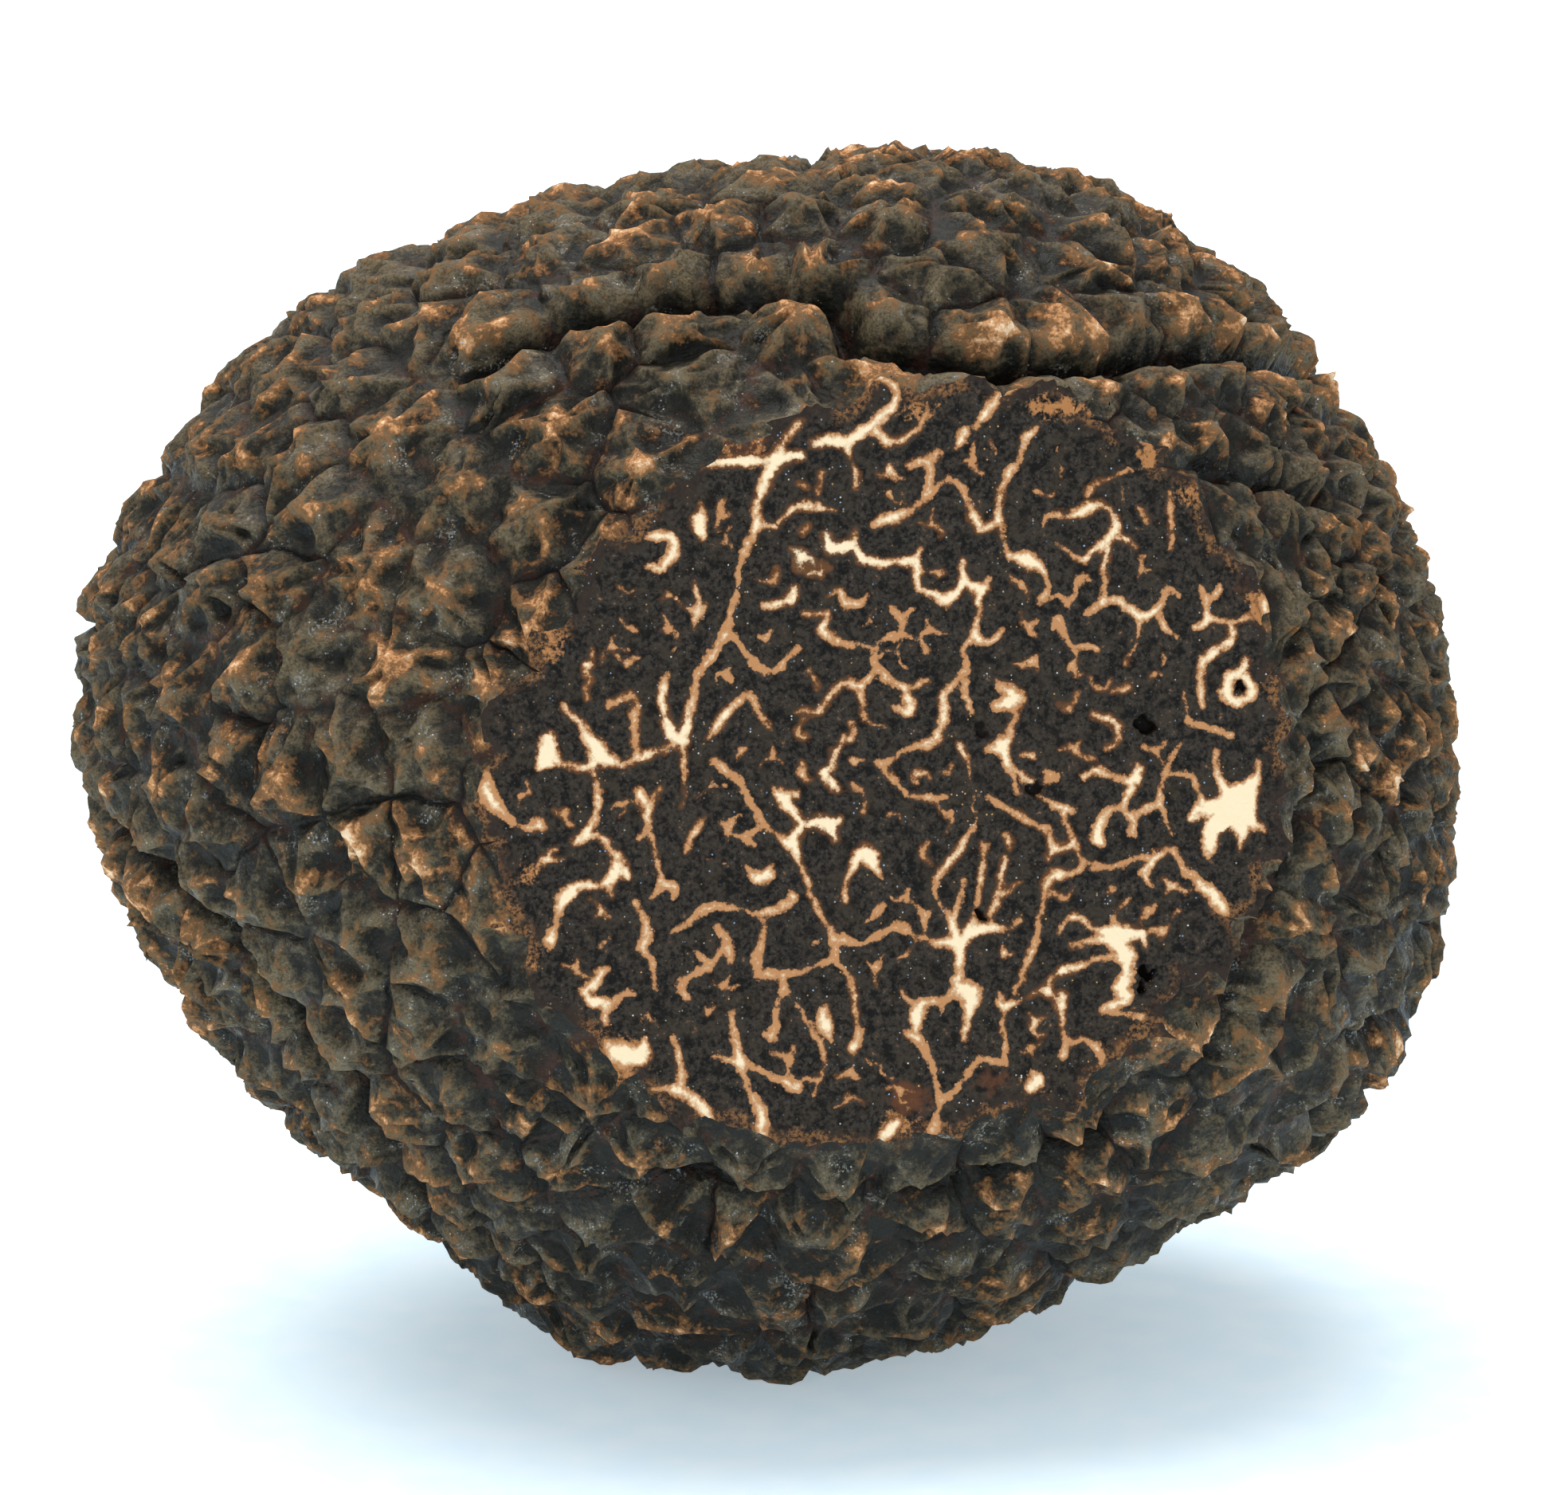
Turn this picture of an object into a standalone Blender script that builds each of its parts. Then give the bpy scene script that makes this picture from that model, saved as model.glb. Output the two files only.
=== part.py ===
"""A black truffle with one slice taken off its front, modelled as the one solid that it is.

The body is a lobed tuber. Its rind is covered with pyramid-shaped warts that meet in narrow
cracks: they are the cells round seeds scattered over the body, and a few long furrows run
between them. A knife has taken one flat slice off the front, and the body rests on a small
flat spot.

Lengths below are in millimetres and angles in degrees; the mesh itself is in metres, +Z up.
The origin is the middle of the flat spot. The cut looks along -Y, a little to the right and up.
"""

import math

import bmesh
import bpy
import numpy as np
from mathutils import Matrix, Vector

MM = 0.001

# The body is drawn in a frame of its own, (right, up, front), which leans back by LEAN.
LEAN = 12.0
CENTRE = (-0.3, 0.0, 21.2)
# Radius of its outline every 30 degrees, anticlockwise from the right, seen from the front.
OUTLINE = (24.4, 24.1, 23.4, 21.2, 21.5, 23.6, 24.3, 22.0, 21.0, 21.8, 21.8, 24.5)
FRONT_RADIUS = 22.6
BACK_RADIUS = 22.2
# Swellings and hollows: direction (right, up, front), height and half-width.
LOBES = (
    ((0.82, -0.42, -0.50), 1.1, 8.0),
    ((-0.55, 0.55, -0.60), 0.9, 11.0),
    ((-0.30, -0.60, -0.75), -0.9, 10.0),
    ((0.35, 0.75, -0.45), 0.7, 9.0),
    ((0.10, 0.80, 0.55), 0.7, 6.0),
    ((-0.80, -0.05, 0.60), 0.5, 8.0),
    ((0.00, -0.97, -0.22), 0.4, 9.0),
    ((-0.34, -0.94, 0.00), 1.0, 4.0),
    ((-0.64, -0.77, 0.00), -0.6, 3.5),
    ((-0.96, 0.22, 0.00), 0.6, 6.0),
    ((-0.66, 0.75, 0.00), 0.6, 4.5),
    ((0.77, -0.64, 0.10), -0.7, 3.5),
    ((-0.27, -0.42, 0.83), 0.35, 5.0),
    ((-0.36, 0.24, 0.83), -0.9, 5.0),
    ((0.50, 0.42, 0.80), 0.7, 5.0),
    ((0.60, -0.30, 0.80), -1.0, 5.0),
)
# Long furrows: points as seen from the front (right, up), then depth and half-width.
FRONT_FURROWS = (
    (((-10.7, 13.6), (-7.5, 14.7), (-1.9, 15.3), (2.1, 15.4), (3.0, 13.8), (8.0, 13.5),
      (12.0, 13.8), (14.6, 14.5), (18.0, 14.2), (20.4, 12.8)), 1.6, 0.6),
    (((-24.0, -1.7), (-20.6, -4.4), (-18.0, -6.9), (-14.1, -11.4), (-11.6, -15.6),
      (-9.2, -18.2)), 1.2, 0.6),
    (((19.1, -13.4), (20.8, -10.4), (23.1, -8.6)), 1.3, 0.7),
    (((15.1, 10.2), (20.2, 8.8)), 0.7, 0.5),
    (((19.7, 0.5), (17.7, -6.6), (15.4, -11.0)), 0.8, 0.5),
    (((-11.8, -14.1), (-2.7, -14.4), (6.6, -14.6), (12.6, -12.6)), 0.9, 0.5),
)
# The same, as seen from behind (left, up).
BACK_FURROWS = (
    (((-15.0, 12.0), (-9.0, 13.4), (-3.0, 11.6), (2.4, 12.6), (8.6, 10.2)), 1.2, 0.6),
    (((14.0, -3.0), (9.6, -6.4), (7.4, -11.6), (2.0, -14.8)), 1.0, 0.6),
    (((-17.0, -6.0), (-12.0, -7.4), (-7.6, -5.8)), 0.8, 0.5),
)

# The warts. Seeds keep their distance, which is greater on the underside and drifts elsewhere.
SEED_GAP = 2.45
UNDERSIDE_GAP = 2.95
UNDERSIDE_START = 0.3
UNDERSIDE_SLOPE = 1.6
GAP_DRIFT = 0.16
DRIFT_WAVES = 12
DRIFT_TURNS = 4.0
FLANK = 1.35  # from a furrow to the rows of warts along it
FLANK_SPACING = 2.8  # between the seeds of one such row
FLANK_JITTER = 0.30  # how far they stray, as a share of that spacing
FLANK_CROWDING = 0.6  # how near they may come to each other, as a share of the seed gap
DARTS = 30000
RANDOM_SEED = 20
SHORTEST_SIDE = 0.5
INSET = 0.001  # starts each shoulder just inside its corner; it is moved afterwards
SHOULDER_SHARE = 0.28  # where the shoulder lies, from the crack (0) to the tip (1)
TIP_SHIFT = 0.35
CRACK_DEPTH = 0.52
SHOULDER_RISE = 0.0
TIP_RISE = 0.32
HEIGHT_SPREAD = 0.40

# Finding the body's depth behind a point that is seen: first guess, least square and rounds.
FIRST_DEPTH = 10.0
LEAST_DEPTH_SQUARED = 1.0
SIGHT_ROUNDS = 4

# The slice: the direction of its face (right, up, front), and how far it lies from the centre.
CUT_DIRECTION = (0.185, -0.05, 1.0)
CUT_DISTANCE = 18.4
CUTTER_SIZE = 60.0

# Plain finishes: colour and roughness.
RIND_FINISH = ((0.013, 0.012, 0.010), 0.55)
FLESH_FINISH = ((0.030, 0.024, 0.021), 0.60)

# Columns are the body's right, up and front in the truffle's own frame.
BODY_AXES = np.array(
    Matrix.Rotation(math.radians(-LEAN), 3, "X") @ Matrix(((1, 0, 0), (0, 0, -1), (0, 1, 0)))
)


def unit(vectors):
    """Vectors scaled to length 1."""
    vectors = np.asarray(vectors, float)
    return vectors / np.linalg.norm(vectors, axis=-1, keepdims=True)


def outline_radius(angle):
    """Radius of the outline at an angle in radians, on a smooth closed curve."""
    radii = np.array(OUTLINE)
    place = angle / math.tau * len(radii)
    first = np.floor(place).astype(int)
    t = place - first
    before, here, after, beyond = (radii[(first + k) % len(radii)] for k in (-1, 0, 1, 2))
    slope = (after - before) / 2
    next_slope = (beyond - here) / 2
    rise = after - here
    return here + slope * t + (3 * rise - 2 * slope - next_slope) * t**2 + (
        slope + next_slope - 2 * rise
    ) * t**3


def smooth_radius(directions):
    """Radius of the body with its lobes, before furrows and warts."""
    right, up, front = directions.T
    outline = outline_radius(np.arctan2(up, right))
    pole = np.where(front > 0, FRONT_RADIUS, BACK_RADIUS)
    radius = 1 / np.sqrt((1 - front**2) / outline**2 + front**2 / pole**2)
    for direction, height, half_width in LOBES:
        away = np.arccos(np.clip(directions @ unit(direction), -1, 1)) * radius
        radius = radius + height * np.exp(-((away / half_width) ** 2))
    return radius


def seen_at(across, up, side):
    """Direction of the body's point seen at (across, up) from the front (1) or behind (-1)."""
    direction = unit((across, up, FIRST_DEPTH))
    for _ in range(SIGHT_ROUNDS):
        reach = smooth_radius(unit([(across * side, up, direction[2] * side)]))[0]
        depth = math.sqrt(max(reach**2 - across**2 - up**2, LEAST_DEPTH_SQUARED))
        direction = unit((across, up, depth))
    return direction * (side, 1, side)


def furrow_lines():
    """Every furrow as the directions of its points, its depth and its half-width."""
    lines = []
    for furrows, side in ((FRONT_FURROWS, 1), (BACK_FURROWS, -1)):
        for points, depth, half_width in furrows:
            route = np.array([seen_at(across, up, side) for across, up in points])
            lines.append((route, depth, half_width))
    return lines


def distance_to_route(directions, route):
    """Angular distance from each direction to a route."""
    nearest = np.full(len(directions), math.pi)
    for start, end in zip(route[:-1], route[1:]):
        step = end - start
        along = np.clip((directions - start) @ step / (step @ step), 0, 1)
        gap = np.linalg.norm(directions - start - along[:, None] * step, axis=1)
        nearest = np.minimum(nearest, gap)
    return nearest


def body_radius(directions, lines):
    """Radius of the body with its furrows, before the warts."""
    radius = smooth_radius(directions)
    valley = np.zeros(len(directions))
    for route, depth, half_width in lines:
        away = distance_to_route(directions, route) * radius
        valley = np.maximum(valley, depth * np.exp(-((away / half_width) ** 2)))
    return radius - valley


def drift(directions):
    """A slow random swing between about -1 and 1 over the body."""
    rng = np.random.default_rng(RANDOM_SEED + 1)
    runs = unit(rng.normal(size=(DRIFT_WAVES, 3))) * DRIFT_TURNS
    phases = rng.uniform(0, math.tau, DRIFT_WAVES)
    return np.sin(directions @ runs.T + phases).sum(axis=1) / math.sqrt(DRIFT_WAVES)


def seed_gap(directions):
    """Least angular distance wanted between a seed and its neighbours."""
    underside = np.clip(-directions[:, 1] * UNDERSIDE_SLOPE - UNDERSIDE_START, 0, 1)
    gap = SEED_GAP + (UNDERSIDE_GAP - SEED_GAP) * underside
    return gap * (1 + GAP_DRIFT * drift(directions)) / smooth_radius(directions)


def furrow_seeds(lines):
    """Seeds in pairs on the two sides of each furrow, so that a crack runs along it."""
    rng = np.random.default_rng(RANDOM_SEED + 4)
    seeds = []
    for route, _, _ in lines:
        radius = smooth_radius(route).mean()
        for start, end in zip(route[:-1], route[1:]):
            count = max(1, round(np.linalg.norm(end - start) * radius / FLANK_SPACING))
            for k in range(count):
                for side in (1, -1):
                    share = (k + 0.5 + FLANK_JITTER * rng.uniform(-1, 1)) / count
                    middle = start + (end - start) * share
                    aside = unit(np.cross(middle, end - start)) * FLANK / radius
                    seeds.append(unit(middle + side * aside))
    return np.array(seeds)


def scatter_seeds(lines):
    """All the seeds: those along the furrows, then darts that keep clear of the others."""
    along = furrow_seeds(lines)
    rng = np.random.default_rng(RANDOM_SEED)
    darts = unit(rng.normal(size=(DARTS, 3)))
    hopefuls = np.vstack([along, darts])
    gaps = seed_gap(hopefuls)
    gaps[: len(along)] *= FLANK_CROWDING
    kept = np.zeros((0, 3))
    for place, gap in zip(hopefuls, gaps):
        if len(kept) == 0 or np.linalg.norm(kept - place, axis=1).min() > gap:
            kept = np.vstack([kept, place])
    return kept


def cells_round(seeds):
    """Corners of the cells round the seeds, and each cell's corners in order."""
    net = bmesh.new()
    for place in seeds:
        net.verts.new(place)
    bmesh.ops.convex_hull(net, input=net.verts)
    net.faces.index_update()
    net.normal_update()
    corners = [face.normal.copy() for face in net.faces]
    cells = []
    for vert in net.verts:
        loop = vert.link_loops[0]
        cell = []
        for _ in vert.link_loops:
            cell.append(loop.face.index)
            loop = loop.link_loop_prev.link_loop_radial_next
        cells.append(cell)
    net.free()
    return corners, cells


def wart_mesh(lines):
    """The whole rind as pyramids: each cell has a crack round it, a shoulder and a tip."""
    corners, cells = cells_round(scatter_seeds(lines))
    warts = bmesh.new()
    verts = [warts.verts.new(corner) for corner in corners]
    for cell in cells:
        warts.faces.new([verts[k] for k in cell])
    bmesh.ops.remove_doubles(warts, verts=warts.verts, dist=SHORTEST_SIDE / min(OUTLINE))
    cracks = set(warts.verts)
    crowns = warts.faces[:]
    bmesh.ops.inset_individual(warts, faces=crowns, thickness=INSET)
    tips = bmesh.ops.poke(warts, faces=crowns)["verts"]

    rng = np.random.default_rng(RANDOM_SEED + 2)
    rises = {vert: -CRACK_DEPTH for vert in cracks}
    for tip in tips:
        tip.co = Vector(unit(tip.co + Vector(rng.normal(size=3)) * TIP_SHIFT / FRONT_RADIUS))
        height = 1 + HEIGHT_SPREAD * rng.uniform(-1, 1)
        rises[tip] = TIP_RISE * height
        for shoulder in [edge.other_vert(tip) for edge in tip.link_edges]:
            rises[shoulder] = SHOULDER_RISE * height
            neighbours = [edge.other_vert(shoulder) for edge in shoulder.link_edges]
            corner = next(vert for vert in neighbours if vert in cracks)
            shoulder.co = corner.co.lerp(tip.co, SHOULDER_SHARE)
    bmesh.ops.triangulate(warts, faces=warts.faces)

    places = unit([vert.co for vert in warts.verts])
    radii = body_radius(places, lines) + [rises[vert] for vert in warts.verts]
    points = CENTRE + (places * radii[:, None]) @ BODY_AXES.T
    for vert, point in zip(warts.verts, points):
        vert.co = Vector(point) * MM
    return warts


def finish(name, colour, roughness):
    """A plain material."""
    material = bpy.data.materials.new(name)
    material.use_nodes = True
    shader = material.node_tree.nodes["Principled BSDF"]
    shader.inputs["Base Color"].default_value = (*colour, 1)
    shader.inputs["Roughness"].default_value = roughness
    shader.inputs["Metallic"].default_value = 0.0
    return material


def collection(name):
    """A new collection in the scene."""
    group = bpy.data.collections.new(name)
    bpy.context.scene.collection.children.link(group)
    return group


def cutter(name, face_point, face_direction, material, group):
    """A box that takes away everything beyond a plane."""
    direction = Vector(face_direction).normalized()
    bpy.ops.mesh.primitive_cube_add(
        size=CUTTER_SIZE * MM,
        location=(Vector(face_point) + direction * CUTTER_SIZE / 2) * MM,
        rotation=direction.to_track_quat("Z", "Y").to_euler(),
    )
    box = bpy.context.object
    box.name = name
    box.data.materials.append(material)
    box.hide_render = True
    box.display_type = "WIRE"
    box.users_collection[0].objects.unlink(box)
    group.objects.link(box)
    return box


def cut_away(part, box):
    """Cut one box from the part."""
    modifier = part.modifiers.new(box.name, "BOOLEAN")
    modifier.operation = "DIFFERENCE"
    modifier.solver = "EXACT"
    modifier.material_mode = "TRANSFER"
    modifier.object = box


def make_truffle():
    """The truffle in its collection, with its two cutters in another."""
    group = collection("black_truffle")
    cutters = collection("cutters")
    rind = finish("rind", *RIND_FINISH)
    flesh = finish("flesh", *FLESH_FINISH)

    warts = wart_mesh(furrow_lines())
    mesh = bpy.data.meshes.new("truffle")
    warts.to_mesh(mesh)
    warts.free()
    mesh.materials.append(rind)
    truffle = bpy.data.objects.new("truffle", mesh)
    group.objects.link(truffle)

    face_direction = BODY_AXES @ unit(CUT_DIRECTION)
    face_point = CENTRE + face_direction * CUT_DISTANCE
    cut_away(truffle, cutter("knife", face_point, face_direction, flesh, cutters))
    cut_away(truffle, cutter("ground", (0, 0, 0), (0, 0, -1), rind, cutters))
    return truffle


for leftover in list(bpy.data.objects):
    bpy.data.objects.remove(leftover)
make_truffle()
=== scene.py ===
"""The looks of a black truffle with one slice taken off its front.

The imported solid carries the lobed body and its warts. The rind is made again here from the same
rule on a much finer net, with grain, worn ridges and rusty tips, and the flat slice gets the
marbled flesh: dark gleba crossed by pale veins.

Lengths are in millimetres and angles in degrees; meshes are in metres, +Z up. Directions given as
(right, up, front) are in the body's own frame, which leans back.
"""

import itertools
import math

import bmesh
import bpy
import numpy as np
from mathutils import Matrix, Vector
from mathutils.geometry import delaunay_2d_cdt


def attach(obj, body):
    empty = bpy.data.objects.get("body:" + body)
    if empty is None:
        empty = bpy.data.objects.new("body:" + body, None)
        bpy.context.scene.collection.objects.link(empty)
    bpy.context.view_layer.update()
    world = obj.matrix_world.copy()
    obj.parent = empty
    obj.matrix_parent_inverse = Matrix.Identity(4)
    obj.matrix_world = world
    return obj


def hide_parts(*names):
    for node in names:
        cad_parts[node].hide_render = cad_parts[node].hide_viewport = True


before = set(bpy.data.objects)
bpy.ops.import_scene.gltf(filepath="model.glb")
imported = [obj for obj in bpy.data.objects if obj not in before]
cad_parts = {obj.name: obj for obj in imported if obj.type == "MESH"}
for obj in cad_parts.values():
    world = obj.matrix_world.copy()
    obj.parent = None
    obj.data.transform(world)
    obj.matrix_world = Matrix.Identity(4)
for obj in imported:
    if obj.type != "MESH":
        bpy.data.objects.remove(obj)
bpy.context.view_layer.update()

bl_info = {
    "name": "Black truffle",
    "version": (1, 0, 0),
    "blender": (4, 5, 0),
    "location": "View3D > Sidebar > Truffle",
    "description": "A black truffle with warty rind and a marbled slice",
    "category": "Object",
}

MM = 0.001
BODY = "root"
NODE = "truffle"

# The body, as in the solid: lean, centre, outline every 30 degrees, lobes and furrows.
LEAN = 12.0
CENTRE = (-0.3, 0.0, 21.2)
OUTLINE = (24.4, 24.1, 23.4, 21.2, 21.5, 23.6, 24.3, 22.0, 21.0, 21.8, 21.8, 24.5)
FRONT_RADIUS = 22.6
BACK_RADIUS = 22.2
LOBES = (
    ((0.82, -0.42, -0.50), 1.1, 8.0),
    ((-0.55, 0.55, -0.60), 0.9, 11.0),
    ((-0.30, -0.60, -0.75), -0.9, 10.0),
    ((0.35, 0.75, -0.45), 0.7, 9.0),
    ((0.10, 0.80, 0.55), 0.7, 6.0),
    ((-0.80, -0.05, 0.60), 0.5, 8.0),
    ((0.00, -0.97, -0.22), 0.4, 9.0),
    ((-0.34, -0.94, 0.00), 1.0, 4.0),
    ((-0.64, -0.77, 0.00), -0.6, 3.5),
    ((-0.96, 0.22, 0.00), 0.6, 6.0),
    ((-0.66, 0.75, 0.00), 0.6, 4.5),
    ((0.77, -0.64, 0.10), -0.7, 3.5),
    ((-0.27, -0.42, 0.83), 0.35, 5.0),
    ((-0.36, 0.24, 0.83), -0.9, 5.0),
    ((0.50, 0.42, 0.80), 0.7, 5.0),
    ((0.60, -0.30, 0.80), -1.0, 5.0),
)
FRONT_FURROWS = (
    (((-10.7, 13.6), (-7.5, 14.7), (-1.9, 15.3), (2.1, 15.4), (3.0, 13.8), (8.0, 13.5),
      (12.0, 13.8), (14.6, 14.5), (18.0, 14.2), (20.4, 12.8)), 1.6, 0.6),
    (((-24.0, -1.7), (-20.6, -4.4), (-18.0, -6.9), (-14.1, -11.4), (-11.6, -15.6),
      (-9.2, -18.2)), 1.2, 0.6),
    (((19.1, -13.4), (20.8, -10.4), (23.1, -8.6)), 1.3, 0.7),
    (((15.1, 10.2), (20.2, 8.8)), 0.7, 0.5),
    (((19.7, 0.5), (17.7, -6.6), (15.4, -11.0)), 0.8, 0.5),
    (((-11.8, -14.1), (-2.7, -14.4), (6.6, -14.6), (12.6, -12.6)), 0.9, 0.5),
)
BACK_FURROWS = (
    (((-15.0, 12.0), (-9.0, 13.4), (-3.0, 11.6), (2.4, 12.6), (8.6, 10.2)), 1.2, 0.6),
    (((14.0, -3.0), (9.6, -6.4), (7.4, -11.6), (2.0, -14.8)), 1.0, 0.6),
    (((-17.0, -6.0), (-12.0, -7.4), (-7.6, -5.8)), 0.8, 0.5),
)

# The warts, as in the solid. Seeds keep their distance, which is greater on the underside.
SEED_GAP = 2.45
UNDERSIDE_GAP = 2.95
UNDERSIDE_START = 0.3
UNDERSIDE_SLOPE = 1.6
GAP_DRIFT = 0.16
DRIFT_WAVES = 12
DRIFT_TURNS = 4.0
FLANK = 1.35
FLANK_SPACING = 2.8
FLANK_JITTER = 0.30
FLANK_CROWDING = 0.6
DARTS = 30000
RANDOM_SEED = 20
SHORTEST_SIDE = 0.5
INSET = 0.001
TIP_SHIFT = 0.35
HEIGHT_SPREAD = 0.40
FIRST_DEPTH = 10.0
LEAST_DEPTH_SQUARED = 1.0
SIGHT_ROUNDS = 4

# The fine net of a wart: rows of points from the crack to the tip, crowded towards the crack.
ROWS = 10
ROW_CROWDING = 1.1
EDGE_REACH = 0.87  # a wart's reach to its crack as a share of its reach to its corners
FRONT_PIECE_REACH = -0.08  # warts whose tips lie in front of this share of the body are one piece

# The slice: the direction of its face (right, up, front), and how far it lies from the centre.
CUT_DIRECTION = (0.185, -0.05, 1.0)
CUT_DISTANCE = 18.4
VEIN_MIDDLE = (0.35, 1.04)  # where the veins are counted from (across, up)
ON_PLANE = 0.002
FLESH_STEP = 0.095
LEAST_RIM_AREA = 0.05  # rims that hold less are left open
SMALL_VEIN_RIM = 1.4  # the small veins' least distance from the rim
SMALL_VEIN_SPREAD = 1.6  # their least distance from each other, as a share of the room they need

# Columns are the body's right, up and front in the truffle's own frame.
BODY_AXES = np.array(
    Matrix.Rotation(math.radians(-LEAN), 3, "X") @ Matrix(((1, 0, 0), (0, 0, -1), (0, 1, 0)))
)


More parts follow.
